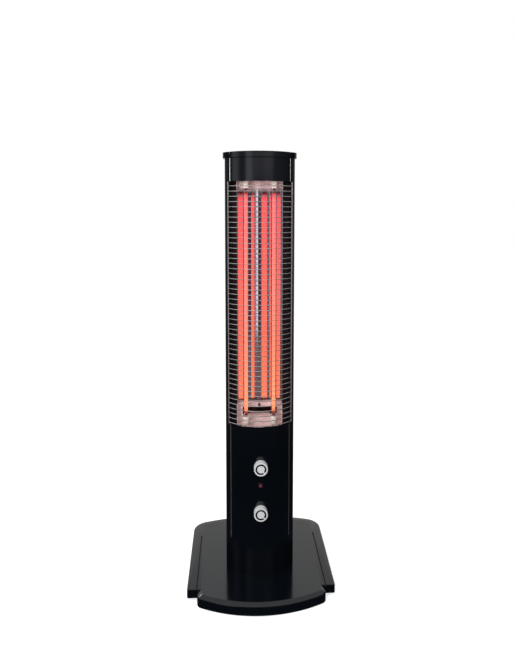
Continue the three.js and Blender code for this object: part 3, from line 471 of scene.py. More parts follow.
def cut_grooves(shape):
    """Each groove narrows towards its bottom, so that no flat floor in it catches the light."""
    half = groove_width / 2
    z0, z1 = base_high.z - groove_depth, base_high.z
    for side in (-1, 1):
        middle = side * (centre_half + half)
        y0, y1 = wing_front - beyond, wing_front + groove_length
        groove = block(middle - half, middle + half, y0, y1, z0, z1)
        bottom = [vert for vert in groove.verts if vert.co.z < z1 - groove_depth / 2]
        narrow = Matrix.Translation((-middle, 0, 0))
        bmesh.ops.scale(groove, verts=bottom, vec=(groove_bottom_share, 1, 1), space=narrow)
        top = upward_faces(groove)
        pull(groove, top, (0, 0, beyond))
        bmesh.ops.delete(groove, geom=top, context="FACES_ONLY")
        combine(shape, groove)


cut_grooves(base)
print(f"grooves {groove_length:.3f} m long")

# %% Bosses and holes of the base
base_screws = [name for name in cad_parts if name.startswith("base_screw")]
column_low, column_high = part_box("plinth")
boss_radius = 7 * MM
boss_height = 6 * MM
screw_hole = 2.7 * MM
plunger_hole = 4.3 * MM


def middle_of(node):
    low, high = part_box(node)
    return (low + high) / 2


def post(radius, node, z0, z1):
    """An upright round post at a node, to join on or to bore a hole with."""
    outline = [(0, z0), (radius, z0), (radius, z1), (0, z1)]
    centre = middle_of(node)
    return lathe(outline, UP, (centre.x, centre.y, 0), steps=24)


def bore_for_column(shape):
    """The holes for the four long screws and for the tip-over switch's plunger."""
    for name in base_screws:
        combine(shape, post(screw_hole, name, -beyond, column_high.z))
    combine(shape, post(plunger_hole, "tip_switch_plunger", -beyond, column_high.z))


for name in base_screws:
    boss = post(boss_radius, name, ceiling_z - boss_height, ceiling_z + MM)
    combine(base, boss, "UNION")
bore_for_column(base)
soft = {"edge": 0.15 * MM, "segments": 2, "smooth": 20}
finish_piece(base, "heater", "gloss_black", gloss_black, "base_moulding", **soft)

# %% [markdown]
# The plinth is a socket that stands on the base, with the plan of the column: a circular arc in
# front, straight sides and two large round corners behind. Its inside is the same plan drawn
# smaller and cut out from above. Two fine lines down its front carry on the joints between the
# panel and the pillars above.

# %% Column plan
column_half = column_high.x
front_bulge = 38.4 * MM
rear_corner = 30 * MM
corner_x = column_half - rear_corner
corner_y = column_high.y - rear_corner
quarter = radians(90)
front_radius = (column_half ** 2 + front_bulge ** 2) / (2 * front_bulge)
arc_centre = column_low.y + front_radius
panel_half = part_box("control_panel")[1].x


def front_y(x, inset=0.0):
    """How far back the column's front lies at that distance from its middle."""
    return arc_centre - sqrt((front_radius - inset) ** 2 - x ** 2)


def column_plan(inset):
    """The column's outline, that far inside its faces: its start and its moves."""
    half = column_half - inset
    turn = asin(half / (front_radius - inset))
    return (-half, front_y(half, inset)), [
        (0, arc_centre, 2 * turn, 64),
        (half, corner_y),
        (corner_x, corner_y, quarter, 16),
        (-corner_x, corner_y + rear_corner - inset),
        (-corner_x, corner_y, quarter, 16),
    ]


print(f"column front radius {front_radius:.4f} m")

# %% Plinth
plinth_wall = 3 * MM
plinth_floor = 4 * MM
line_width = 0.8 * MM
joint_gap = 0.3 * MM


def plinth_shape():
    shape = solid("column_plinth", raised(*column_plan(0), column_low.z, column_high.z))
    z0, z1 = column_low.z + plinth_floor, column_high.z + beyond
    combine(shape, raised(*column_plan(plinth_wall), z0, z1))
    half = line_width / 2
    for side in (-1, 1):
        x = side * (panel_half + joint_gap / 2)
        y = front_y(x)
        combine(shape, block(x - half, x + half, y - beyond, y + line_width, -1, 1))
    bore_for_column(shape)
    return shape


plinth = plinth_shape()
finish_piece(plinth, "heater", "gloss_black", gloss_black, "plinth", edge=0.25 * MM, segments=2)

# %% [markdown]
# The control panel below the lamps and the narrow panel above them are curved sheets that follow
# the column's front arc. A single upright cut through the sheet, spun about the arc's axis, gives
# each one, and raising that strip gives its height. The control panel is drilled for the two
# control bushings and for the indicator lamp.

# %% Curved sheets and drilled holes
panel_thickness = 2 * MM
drill_reach = 30 * MM


def arc_strip(bm, x, y, z, radii, bearing, angle, steps):
    """A flat strip between two radii round a point, swept from a bearing through an angle."""
    corners = [(x + r * cos(bearing), y + r * sin(bearing), z) for r in radii]
    sweep(bm, edge_between(bm, *corners), (x, y, 0), angle, steps)


def curved_panel(name, node):
    """A sheet on the column's front arc, as high as a node."""
    low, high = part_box(node)
    turn = asin(panel_half / front_radius)
    radii = (front_radius, front_radius - panel_thickness)
    bm = bmesh.new()
    arc_strip(bm, 0, arc_centre, low.z, radii, -quarter - turn, 2 * turn, 56)
    pull(bm, bm.faces[:], (0, 0, high.z - low.z))
    return solid(name, bm)


def drill(shape, radius, y, z, x=0.0):
    """A round hole along Y through a panel."""
    outline = [(0, -drill_reach), (radius, -drill_reach), (radius, drill_reach), (0, drill_reach)]
    combine(shape, lathe(outline, BACK, (x, y, z), steps=32))


print(f"panels {panel_thickness} m thick")

# %% [markdown]
# Both panels are clear acrylic, painted black on the back and polished on their two cut ends. A
# highlight is painted into the colour of each end as a thin upright line. It is bright on the upper
# panel and dim on the lower one, whose ends lie deeper in the pillars' shade.

# %% Panels
# The width of the highlight painted on each cut end.
painted_highlight_width = 0.9 * MM
hole_play = 0.3 * MM
bushing_radius = 5 * MM
lens_stem_radius = 4.2 * MM


def acrylic_with_painted_highlight(name, painted_highlight_tone):
    finish = gloss_black_finish(name)
    tree = finish.node_tree
    shader = tree.nodes["Principled BSDF"]
    place = add_node(tree, "TexCoord").outputs["Object"]
    split = add_node(tree, "SeparateXYZ", links={"Vector": place})
    aside = add_node(tree, "Math", links={0: split.outputs["X"]}, operation="ABSOLUTE")
    links = {0: aside.outputs[0]}
    # Past this reach from the middle, the colour turns to the painted highlight.
    in_painted_highlight = add_node(tree, "Math", {1: panel_half - painted_highlight_width}, links, operation="GREATER_THAN")
    vary(tree, shader, in_painted_highlight.outputs[0], tones=[(0.0, abs_black), (1.0, painted_highlight_tone)])
    return finish


lower_panel = curved_panel("lower_panel", "control_panel")
for control in ("regulator_shaft", "selector_shaft"):
    drill(lower_panel, bushing_radius + hole_play, column_low.y, middle_of(control).z)
drill(lower_panel, lens_stem_radius + hole_play, column_low.y, middle_of("indicator_lens").z)
# A dim painted highlight on the lower panel's ends, which lie in the pillars' shade.
lower_acrylic = acrylic_with_painted_highlight("acrylic_dim_painted_highlight", "#4A4E50")
finish_piece(lower_panel, "heater", "gloss_black", lower_acrylic, "control_panel", edge=0.3 * MM)

upper_panel = curved_panel("upper_panel", "top_front_panel")
# A bright painted highlight on the upper panel's ends.
upper_acrylic = acrylic_with_painted_highlight("acrylic_bright_painted_highlight", "#F4F6F8")
finish_piece(upper_panel, "heater", "gloss_black", upper_acrylic, "top_front_panel", edge=0.6 * MM)

# %% [markdown]
# Each pillar is one long aluminium extrusion, anodised black. Anodising keeps the metal's grain,
# so the surface stays a dark metal with fine lines along its length and a satin gleam, and its
# outer corner draws a thin bright edge. Its section is an open channel: a web on the front arc, a
# flat outer wall and a short inner leg. The section is drawn once and mirrored for the left side.

# %% Anodised aluminium
grain_width = 0.4
grain_length = 40.0


def streaks(tree, place, width, length, detail):
    """A pattern of upright streaks, that many millimetres wide and long."""
    stretch = (scale_of(width), scale_of(width), scale_of(length))
    drawn_out = add_node(tree, "Mapping", {"Scale": stretch}, {"Vector": place})
    grain = {"Scale": 1, "Detail": detail}
    return add_node(tree, "TexNoise", grain, {"Vector": drawn_out.outputs[0]}).outputs[0]


anodised, tree, shader, place = new_finish("black_anodised_aluminium", "#0E1013", Metallic=0.5)
grain = streaks(tree, place, grain_width, grain_length, 3)
vary(tree, shader, grain, rough=(0.24, 0.36), relief=(0.1, 0.02))
print(f"{anodised.name}: grain {grain_width} mm wide")

# %% Pillars
pillar_wall = 2.5 * MM
leg_depth = 30 * MM
pillar_low, pillar_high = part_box("right_pillar")


def pillar_section():
    """The right pillar's section: its start and its moves."""
    wall_x = pillar_high.x - pillar_wall
    leg_x = pillar_low.x + pillar_wall
    leg_rear = front_y(pillar_low.x) + leg_depth
    inner = front_radius - pillar_wall
    web = asin(pillar_high.x / front_radius) - asin(pillar_low.x / front_radius)
    inner_web = asin(wall_x / inner) - asin(leg_x / inner)
    return (pillar_low.x, front_y(pillar_low.x)), [
        (0, arc_centre, web, 10),
        (pillar_high.x, pillar_high.y),
        (wall_x, pillar_high.y),
        (wall_x, front_y(wall_x, pillar_wall)),
        (0, arc_centre, -inner_web, 6),
        (leg_x, leg_rear),
        (pillar_low.x, leg_rear),
    ]


def standing_pair(kind, section, node, slot, finish, **soft):
    """Raises a right-hand section into a piece, and into its mirror image on the left."""
    low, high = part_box(f"right_{node}")
    for side in ("left", "right"):
        bm = raised(*section, low.z, high.z)
        if side == "left":
            mirror_across(bm)
        shape = solid(f"{side}_{kind}", bm)
        finish_piece(shape, "heater", slot, finish, f"{side}_{node}", **soft)


standing_pair("upright", pillar_section(), "pillar", "pillar_black", anodised, edge=0.4 * MM)

# %% [markdown]
# A moulded lug closes the top of each pillar and stands a little proud of it, with well rounded
# edges. Between the lugs lies the cap, a shallow lid that covers the column and is notched for
# them. Its underside is hollow, like the lid of a box.

# %% Lugs
lug_low, lug_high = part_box("right_pillar_cap")
lug_proud = 1.5 * MM
lug_radius = front_radius + lug_proud
lug_rounding = {"edge": 2 * MM, "segments": 5}


def lug_section():
    """The right lug's section: its start and its moves."""
    turn = asin(lug_high.x / lug_radius) - asin(lug_low.x / lug_radius)
    y = arc_centre - sqrt(lug_radius ** 2 - lug_low.x ** 2)
    return (lug_low.x, y), [
        (0, arc_centre, turn, 12),
        (lug_high.x, lug_high.y),
        (lug_low.x, lug_high.y),
    ]


standing_pair("lug", lug_section(), "pillar_cap", "gloss_black", gloss_black, **lug_rounding)

# %% Cap
cap_low, cap_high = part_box("top_cap")
cap_overhang = 1 * MM
cap_wall = 2.5 * MM
lug_rear = lug_high.y + joint_gap


def cap_plan(wall):
    """The cap's outline, that far inside its faces: its start and its moves."""
    inset = wall - cap_overhang
    half = panel_half - wall
    turn = asin(half / (front_radius - inset))
    side_x = column_half - inset
    notch_y = lug_rear + wall
    return (-half, front_y(half, inset)), [
        (0, arc_centre, 2 * turn, 56),
        (half, notch_y),
        (side_x, notch_y),
        (side_x, corner_y),
        (corner_x, corner_y, quarter, 16),
        (-corner_x, corner_y + rear_corner - inset),
        (-corner_x, corner_y, quarter, 16),
        (-side_x, notch_y),
        (-half, notch_y),
    ]


cap = solid("cap", raised(*cap_plan(0), cap_low.z, cap_high.z))
combine(cap, raised(*cap_plan(cap_wall), cap_low.z - beyond, cap_high.z - cap_wall))
finish_piece(cap, "heater", "gloss_black", gloss_black, "top_cap", edge=0.8 * MM)

# %% [markdown]
# The back of the column is one steel sheet, folded round the rear corners and lapped inside the
# pillars, with a block of air slots low down and another near the top. It is powder coated: the
# melted powder leaves a fine pebbled skin, well under a millimetre from bump to bump, which breaks
# up the light into a soft satin.

# %% Powder-coated steel
pebble_size = 0.7
mottle_size = 25.0
mottle_spread = 0.06


def powder_finish(name, hex_code, roughness):
    finish, tree, shader, place = new_finish(name, hex_code, IOR=1.5)
    pebble = add_node(tree, "TexVoronoi", {"Scale": scale_of(pebble_size)}, {"Vector": place})
    vary(tree, shader, pebble.outputs[0], relief=(0.25, 0.05))
    patches = {"Scale": scale_of(mottle_size), "Detail": 3}
    mottle = add_node(tree, "TexNoise", patches, {"Vector": place})
    rough = (roughness - mottle_spread, roughness + mottle_spread)
    vary(tree, shader, mottle.outputs[0], rough=rough)
    return finish


housing_black = powder_finish("black_powder_coat", "#121315", 0.45)
# The red tint of this black is painted glow, the lamps' red light on the chamber painted into its
# colour.
chamber_black_with_painted_glow = powder_finish("heatproof_black_paint_with_painted_glow", "#0E0408", 0.65)
print(f"powder coats: pebbles every {pebble_size} mm")

# %% Folded sheet of the back
housing_low, housing_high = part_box("rear_housing")
housing_wall = 1.5 * MM
lip_thickness = 1.2 * MM
lip_length = 9 * MM


def housing_section():
    """The folded sheet's section, round the back from right to left and home along its inside."""
    front = housing_low.y
    edge = front + lip_length
    step = edge + housing_wall
    outer, inner = column_half, column_half - housing_wall
    lip = column_half - pillar_wall - joint_gap
    lip_inner = lip - lip_thickness
    return (outer, edge), [
        (outer, corner_y),
        (corner_x, corner_y, quarter, 16),
        (-corner_x, column_high.y),
        (-corner_x, corner_y, quarter, 16),
        (-outer, edge), (-lip, edge), (-lip, front),
        (-lip_inner, front), (-lip_inner, step), (-inner, step), (-inner, corner_y),
        (-corner_x, corner_y, -quarter, 16),
        (corner_x, column_high.y - housing_wall),
        (corner_x, corner_y, -quarter, 16),
        (inner, step), (lip_inner, step), (lip_inner, front), (lip, front), (lip, edge),
    ]


housing = solid("back", raised(*housing_section(), housing_low.z, housing_high.z))
print(f"back {housing_high.z - housing_low.z:.3f} m high")

# %% Air slots and holes of the back
slot_half = 35 * MM
slot_height = 4 * MM
slot_rounding = 0.45 * slot_height
slot_pitch = 9 * MM
slot_count = 8
lower_slot_rise = 60 * MM
upper_slot_drop = 50 * MM
gland_hole = 6.3 * MM
rear_screw_hole = 2.1 * MM


def slots():
    """All the air slots as one mesh of blocks with rounded ends, to cut with."""
    cutter = bmesh.new()
    starts = [housing_low.z + lower_slot_rise + i * slot_pitch for i in range(slot_count)]
    starts += [housing_high.z - upper_slot_drop - i * slot_pitch for i in range(slot_count)]
    y0, y1 = housing_high.y - beyond, housing_high.y + beyond
    for z in starts:
        single = block(-slot_half, slot_half, y0, y1, z, z + slot_height)
        ends = [e for e in single.edges if abs(e.verts[0].co.y - e.verts[1].co.y) > beyond]
        round_off(single, ends, slot_rounding)
        mesh = bpy.data.meshes.new("slot")
        single.to_mesh(mesh)
        single.free()
        cutter.from_mesh(mesh)
        bpy.data.meshes.remove(mesh)
    return cutter


combine(housing, slots())
drill(housing, gland_hole, housing_high.y, middle_of("cord_gland").z)
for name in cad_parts:
    if name.startswith("rear_screw"):
        drill(housing, rear_screw_hole, housing_high.y, middle_of(name).z, middle_of(name).x)
finish_piece(housing, "heater", "housing_black", housing_black, "rear_housing", edge=0.3 * MM)

# %% [markdown]
# The guard is a grille of round steel wires, each bent to the column's arc and welded at both ends
# to an upright rod, then chromed. A circle spun about the arc's axis makes one wire, and the rest
# are made the same way, one pitch apart. Four hooks behind the panels hold the grille. The chrome
# is bright but not new, so its gleam is duller in patches.

# %% Chromed wire
dull_size = 12.0
chromed, tree, shader, place = new_finish("chromed_steel_wire", "#C2BEBA", Metallic=0.9)
dull = add_node(tree, "TexNoise", {"Scale": scale_of(dull_size), "Detail": 3}, {"Vector": place})
vary(tree, shader, dull.outputs[0], rough=(0.12, 0.3))
print(f"{chromed.name}: dull patches {dull_size} mm wide")

# %% Round wires
def wire_start(bm, place, radius, axis, sides):
    """A round face across the start of a wire, ready to be swept or pulled along."""
    facing = Vector(UP).rotation_difference(Vector(axis)).to_matrix().to_4x4()
    spot = Matrix.Translation(place) @ facing
    circle = {"segments": sides, "radius": radius, "cap_ends": True}
    made = bmesh.ops.create_circle(bm, matrix=spot, **circle)
    return list({face for vert in made["verts"] for face in vert.link_faces})


def straight_wire(bm, start, end, radius, sides=12):
    """A straight round wire from one point to another."""
    axis = Vector(end) - Vector(start)
    pull(bm, wire_start(bm, start, radius, axis, sides), axis, use_keep_orig=True)


print("round wires can be drawn")

# %% Wire guard
guard_low, guard_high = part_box("wire_guard")
panel_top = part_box("control_panel")[1].z
upper_panel_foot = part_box("top_front_panel")[0].z
wire_radius = 0.9 * MM
rod_radius = 1.1 * MM
wire_pitch = 10.55 * MM
wire_count = 48
wire_rise = 3 * MM
lowest_wire = panel_top + wire_rise
highest_wire = lowest_wire + (wire_count - 1) * wire_pitch
guard_half = guard_high.x - rod_radius
guard_radius = front_radius + joint_gap + rod_radius
hook_offset = 40 * MM
hook_length = 9 * MM


def bent_wire(bm, z):
    """One level wire, swept round the column's arc from rod to rod."""
    turn = asin(guard_half / guard_radius)
    start = Vector((-sin(turn), -cos(turn), 0)) * guard_radius + Vector((0, arc_centre, z))
    end = wire_start(bm, start, wire_radius, (cos(turn), -sin(turn), 0), 8)
    sweep(bm, end, (0, arc_centre, 0), 2 * turn, 24)


def guard_mesh():
    bm = bmesh.new()
    for i in range(wire_count):
        bent_wire(bm, lowest_wire + i * wire_pitch)
    rod_y = arc_centre - sqrt(guard_radius ** 2 - guard_half ** 2)
    rod_foot, rod_head = guard_low.z + hook_length, upper_panel_foot - MM
    outer_y = arc_centre - sqrt(guard_radius ** 2 - hook_offset ** 2)
    inner_y = front_y(hook_offset, panel_thickness + joint_gap + wire_radius)
    hooks = [(lowest_wire, panel_top - hook_length)]
    hooks += [(highest_wire, upper_panel_foot + hook_length)]
    for side in (-1, 1):
        x = side * guard_half
        straight_wire(bm, (x, rod_y, rod_foot), (x, rod_y, rod_head), rod_radius)
        x = side * hook_offset
        for wire_z, tip_z in hooks:
            bend = (x, inner_y, wire_z)
            straight_wire(bm, (x, outer_y, wire_z), bend, wire_radius)
            straight_wire(bm, bend, (x, inner_y, tip_z), wire_radius)
    return bm


guard = solid("guard", guard_mesh())
finish_piece(guard, "heater", "chromed_wire", chromed, "wire_guard", smooth=50)

# %% [markdown]
# Behind the lamps stands the reflector, one thin sheet of polished aluminium bent into two
# troughs with a low ridge between them. The curve outside each lamp and the gentle slope inside it
# turn the lamp's light forwards, so from the front each wall shows a tall mirror image of a lamp.
# Rolling leaves faint lines up the sheet, drawn some millimetres wide here because real ones are
# too fine to show. Past the two ends of the ribbons the sheet is made matt and pale pink: the pink
# is painted glow, the lamps' red light on the sheet painted into its colour.

# %% Polished aluminium
lamp_middle = 611 * MM
mirror_half = 235 * MM
painted_glow_fade = 8 * MM
roll_width = 2.5
roll_length = 200.0
# The pale pink tone past the ribbons' ends is painted glow of the lamps' red light.
bare_tone, painted_glow_tone = "#CECCD0", "#FFDAD8"

polished, tree, shader, place = new_finish("polished_aluminium_sheet", bare_tone, Metallic=1.0)
rolled = streaks(tree, place, roll_width, roll_length, 2)
vary(tree, shader, rolled, relief=(0.2, 0.02))
height = add_node(tree, "SeparateXYZ", links={"Vector": place}).outputs["Z"]
away = add_node(tree, "Math", {1: lamp_middle}, {0: height}, operation="SUBTRACT")
reach = add_node(tree, "Math", links={0: away.outputs[0]}, operation="ABSOLUTE")
span = {"From Min": mirror_half - painted_glow_fade, "From Max": mirror_half}
film_and_painted_glow = add_node(tree, "MapRange", span, {"Value": reach.outputs[0]}).outputs[0]
haze = add_node(tree, "MapRange", {"To Min": 0.06, "To Max": 0.16}, {"Value": rolled})
matt = add_node(tree, "MapRange", {"To Min": 0.0, "To Max": 0.4}, {"Value": film_and_painted_glow})
links = {0: haze.outputs[0], 1: matt.outputs[0]}
total = add_node(tree, "Math", links=links, operation="ADD")
tree.links.new(total.outputs[0], shader.inputs["Roughness"])
bare = add_node(tree, "MapRange", {"To Min": 1.0, "To Max": 0.1}, {"Value": film_and_painted_glow})
tree.links.new(bare.outputs[0], shader.inputs["Metallic"])
# Painted glow: past the ribbons' ends the colour turns pale pink.
vary(tree, shader, film_and_painted_glow, tones=[(0.0, bare_tone), (1.0, painted_glow_tone)])
print(f"{polished.name}: bright for {2 * mirror_half:.3f} m")

# %% Reflector
reflector_low, reflector_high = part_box("reflector")
lamp_x = middle_of("right_carbon_element").x
lamp_y = middle_of("right_carbon_element").y
reflector_sheet = 0.8 * MM
fold_radius = 0.6 * MM
edge_inset = 14.7 * MM
edge_x = panel_half - edge_inset
side_rake = 1.2 * MM
trough_y = reflector_high.y - reflector_sheet
hollow_radius = 60 * MM
flat_width = 12 * MM
flank_radius = 170 * MM
flank_tilt = radians(11.5)
ridge_half = 2.3 * MM


def reflector_outline():
    """The right half's line, from the ridge outwards: its start and its moves."""
    flank_x = lamp_x - flat_width + flank_radius * sin(flank_tilt)
    flank_y = trough_y - flank_radius * cos(flank_tilt)
    ridge_tilt = asin((flank_x - ridge_half) / flank_radius)
    ridge_y = flank_y + flank_radius * cos(ridge_tilt)
    hollow_turn = asin((edge_x - side_rake - lamp_x) / hollow_radius)
    return (0, ridge_y), [
        (ridge_half, ridge_y),
        (flank_x, flank_y, flank_tilt - ridge_tilt, 6),
        (lamp_x, trough_y),
        (lamp_x, trough_y - hollow_radius, -hollow_turn, 10),
        (edge_x, reflector_low.y),
    ]


def reflector_mesh():
    """The line is bent at its folds, mirrored, raised and given its thickness."""
    bm = bmesh.new()
    corners = trace(bm, *reflector_outline(), reflector_low.z)
    folds = [corners[1], corners[2], corners[4]]
    round_off(bm, folds, fold_radius, segments=3, affect="VERTICES")
    geom = bm.verts[:] + bm.edges[:]
    bmesh.ops.mirror(bm, geom=geom, axis="X", merge_dist=0.01 * MM)
    made = bmesh.ops.extrude_edge_only(bm, edges=bm.edges[:])
    top = [g for g in made["geom"] if isinstance(g, bmesh.types.BMVert)]
    bmesh.ops.translate(bm, verts=top, vec=(0, 0, reflector_high.z - reflector_low.z))
    bmesh.ops.recalc_face_normals(bm, faces=bm.faces[:])
    if sum(face.normal.y * face.calc_area() for face in bm.faces) > 0:
        bmesh.ops.reverse_faces(bm, faces=bm.faces[:])
    bmesh.ops.solidify(bm, geom=bm.faces[:], thickness=reflector_sheet)
    return bm


reflector = solid("trough_reflector", reflector_mesh())
finish_piece(reflector, "heater", "reflector_aluminium", polished, "reflector")

# %% [markdown]
# A carbon lamp is a clear quartz tube with a flat ribbon of carbon held on a thin rod at each end,
# where a small coil spring keeps it straight as it grows with the heat. At full power the ribbon
# glows orange and its two ends stay darker, because the rods carry heat away. The glow is an
# emission whose colour runs along the lamp, so it needs no lamp of its own in the scene. The tube
# carries a little dust, and the ceramic caps are pale with darker specks.

# %% Lamp finishes
dust_size = 30.0
speck_size = 2.0
element_low, element_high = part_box("right_carbon_element")
glow_tones = [(0.035, "#3A0C08"), (0.06, "#FF7850"), (0.3, "#FF6A50"), (0.93, "#FF5558")]
glow_tones += [(0.96, "#3A0C08")]

clear = {"IOR": 1.46, "Transmission_Weight": 1.0}
quartz, tree, shader, place = new_finish("clear_quartz_glass", "#FFFFFF", **clear)
dust = add_node(tree, "TexNoise", {"Scale": scale_of(dust_size), "Detail": 3}, {"Vector": place})
vary(tree, shader, dust.outputs[0], rough=(0.0, 0.06))

hot = {"Roughness": 0.8, "Emission_Strength": 2.4}
glowing, tree, shader, place = new_finish("glowing_carbon_ribbon", "#2A1512", **hot)
height = add_node(tree, "SeparateXYZ", links={"Vector": place}).outputs["Z"]
span = {"From Min": element_low.z, "From Max": element_high.z}
along = add_node(tree, "MapRange", span, {"Value": height})
ramp = add_node(tree, "ValToRGB", links={"Fac": along.outputs[0]}, stops=glow_tones)
tree.links.new(ramp.outputs[0], shader.inputs["Emission Color"])

fired = {"Roughness": 0.5, "IOR": 1.55}
ceramic, tree, shader, place = new_finish("steatite_ceramic", "#F2DED8", **fired)
speck = add_node(tree, "TexNoise", {"Scale": scale_of(speck_size), "Detail": 4}, {"Vector": place})
vary(tree, shader, speck.outputs[0], tones=[(0.35, "#E8CFC8"), (0.65, "#F8E8E2")])
print("quartz, glowing carbon and ceramic are ready")

# %% Tube, ribbon and cap of a lamp
tube_low, tube_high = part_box("right_quartz_tube")
tube_radius = 6 * MM
tube_wall = 1.2 * MM
ribbon_half = 3.5 * MM
ribbon_thickness = 1.2 * MM
ribbon_inset = 15 * MM
element_rod = 0.8 * MM
coil_radius = 2.6 * MM
coil_wire = 0.45 * MM
coil_turns = 5
coil_inset = 7 * MM
# Radius and distance out from the tube's end, in millimetres.
cap_outline = [(1.6, 0.3), (6.3, 0.3), (6.3, -6), (7.2, -6), (7.2, 9), (5.6, 12), (1.6, 12)]


def tube_mesh(x):
    inner, length = tube_radius - tube_wall, tube_high.z - tube_low.z
    outline = [(inner, 0), (tube_radius, 0), (tube_radius, length), (inner, length)]
    return lathe(outline, UP, (x, lamp_y, tube_low.z), steps=40)


def coil(bm, x, z0, z1):
    """A small spring round the rod: a circle swept with a step along the axis."""
    end = wire_start(bm, (x + coil_radius, lamp_y, z0), coil_wire, BACK, 6)
    steps = 16 * coil_turns
    rise = Vector((0, 0, (z1 - z0) / steps))
    sweep(bm, end, (x, lamp_y, 0), radians(360) * coil_turns, steps, dvec=rise)


def element_mesh(x):
    z0, z1 = tube_low.z + ribbon_inset, tube_high.z - ribbon_inset
    half = ribbon_thickness / 2
    bm = block(x - ribbon_half, x + ribbon_half, lamp_y - half, lamp_y + half, z0, z1)
    for start, end in ((element_low.z, z0), (z1, element_high.z)):
        straight_wire(bm, (x, lamp_y, start), (x, lamp_y, end), element_rod)
    coil(bm, x, tube_low.z + coil_inset, z0 - MM)
    coil(bm, x, z1 + MM, tube_high.z - coil_inset)
    return bm


def cap_mesh(x, z, direction):
    """A ceramic cap over one end of the tube; direction is where its tail points."""
    corners = [(r * MM, direction * a * MM) for r, a in cap_outline]
    return lathe(corners, UP, (x, lamp_y, z), steps=40)


print(f"tube {tube_high.z - tube_low.z:.3f} m long, ribbon {2 * ribbon_half:.4f} m wide")

# %% Lamps
for name, side in (("left", -1), ("right", 1)):
    x = side * lamp_x
    glass = solid(f"{name}_tube", tube_mesh(x))
    finish_piece(glass, "heater", "quartz", quartz, f"{name}_quartz_tube", edge=0.3 * MM)
    element = solid(f"{name}_element", element_mesh(x))
    finish_piece(element, "heater", "glowing_carbon", glowing, f"{name}_carbon_element")
    for end, z, direction in (("lower", tube_low.z, -1), ("upper", tube_high.z, 1)):
        cap_end = solid(f"{name}_{end}_cap", cap_mesh(x, z, direction))
        replaced = f"{name}_{end}_lamp_cap"
        finish_piece(cap_end, "heater", "ceramic", ceramic, replaced, edge=0.4 * MM)

# %% [markdown]
# A sprung steel clip lies across the lower ends of both lamps. It holds each tube in a ring that
# is open at the front, and a stem with a small foot carries it on the reflector's ridge. Steel
# that lives next to a lamp turns a dark straw and blue-brown, so its colour changes in patches.

# %% Heat-tinted steel
patch_size = 14.0
worn = {"Metallic": 1.0, "Roughness": 0.42}
tinted, tree, shader, place = new_finish("heat_tinted_spring_steel", "#3A2B2A", **worn)
patch = add_node(tree, "TexNoise", {"Scale": scale_of(patch_size), "Detail": 3}, {"Vector": place})
vary(tree, shader, patch.outputs[0], tones=[(0.35, "#2A2023"), (0.65, "#5A4238")])
print(f"{tinted.name}: patches {patch_size} mm wide")

# %% Lamp clip
clip_low, clip_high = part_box("lower_tube_clip")
clip_sheet = 1 * MM
clip_inner = tube_radius + joint_gap
clip_wrap = radians(110)


def clip_rings():
    """The two open rings, one round each tube."""
    bm = bmesh.new()
    radii = (clip_inner, clip_inner + clip_sheet)
    for x in (-lamp_x, lamp_x):
        arc_strip(bm, x, lamp_y, clip_low.z, radii, quarter - clip_wrap, 2 * clip_wrap, 32)
    pull(bm, bm.faces[:], (0, 0, clip_high.z - clip_low.z))
    return bm


clip = solid("tube_clip", clip_rings())
strip_y = lamp_y + clip_inner
half = clip_sheet / 2
strip = (lamp_x, strip_y, strip_y + clip_sheet)
stem = (half, strip_y + half, clip_high.y - half)
foot = (ridge_half, clip_high.y - clip_sheet, clip_high.y)
for half_width, y0, y1 in (strip, stem, foot):
    bar = block(-half_width, half_width, y0, y1, clip_low.z, clip_high.z)
    combine(clip, bar, "UNION")
finish_piece(clip, "heater", "clip_steel", tinted, "lower_tube_clip", edge=0.2 * MM, segments=2)

# %% [markdown]
# Each lamp's lead is a stranded wire in a woven glass sleeve. It leaves the lower cap in a small
# bow, passes through a hole in the chamber's floor and runs on to the regulator. A smooth curve
# with a round bevel gives it, and slanted threads give the weave. Real threads are too fine to
# show, so they are drawn several times as wide.

# %% Woven sleeve
thread_size = 8.0
sleeve, tree, shader, place = new_finish("woven_glass_sleeve", "#1C1413", Roughness=0.8)
threads = {"Scale": scale_of(thread_size), "Distortion": 0.5}
weave = add_node(tree, "TexWave", threads, {"Vector": place}, bands_direction="DIAGONAL")
thread_tones = [(0.0, "#2A2221"), (1.0, "#54474A")]
vary(tree, shader, weave.outputs["Fac"], relief=(0.5, 0.2), tones=thread_tones)
print(f"{sleeve.name} is ready")

# %% Lower leads
floor_low, floor_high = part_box("chamber_floor")
lead_radius = 1 * MM
lead_bow = 4 * MM
terminal_x = 5 * MM
terminal_rise = 9 * MM
straight_end = 2 * MM
cap_tail = 12 * MM


def lead_curve(name, points):
    """A round wire along a smooth curve through the points, as a mesh."""
    path = bpy.data.curves.new(name, "CURVE")
    path.dimensions = "3D"
    path.bevel_depth = lead_radius
    path.bevel_resolution = 3
    path.use_fill_caps = True
    spline = path.splines.new("BEZIER")
    spline.bezier_points.add(len(points) - 1)
    for point, place in zip(spline.bezier_points, points):
        point.co = place
        point.handle_left_type = point.handle_right_type = "AUTO"
    drawn = put_in_scene(name, path)
    mesh = mesh_of(drawn)
    bpy.data.objects.remove(drawn)
    return put_in_scene(name, mesh)


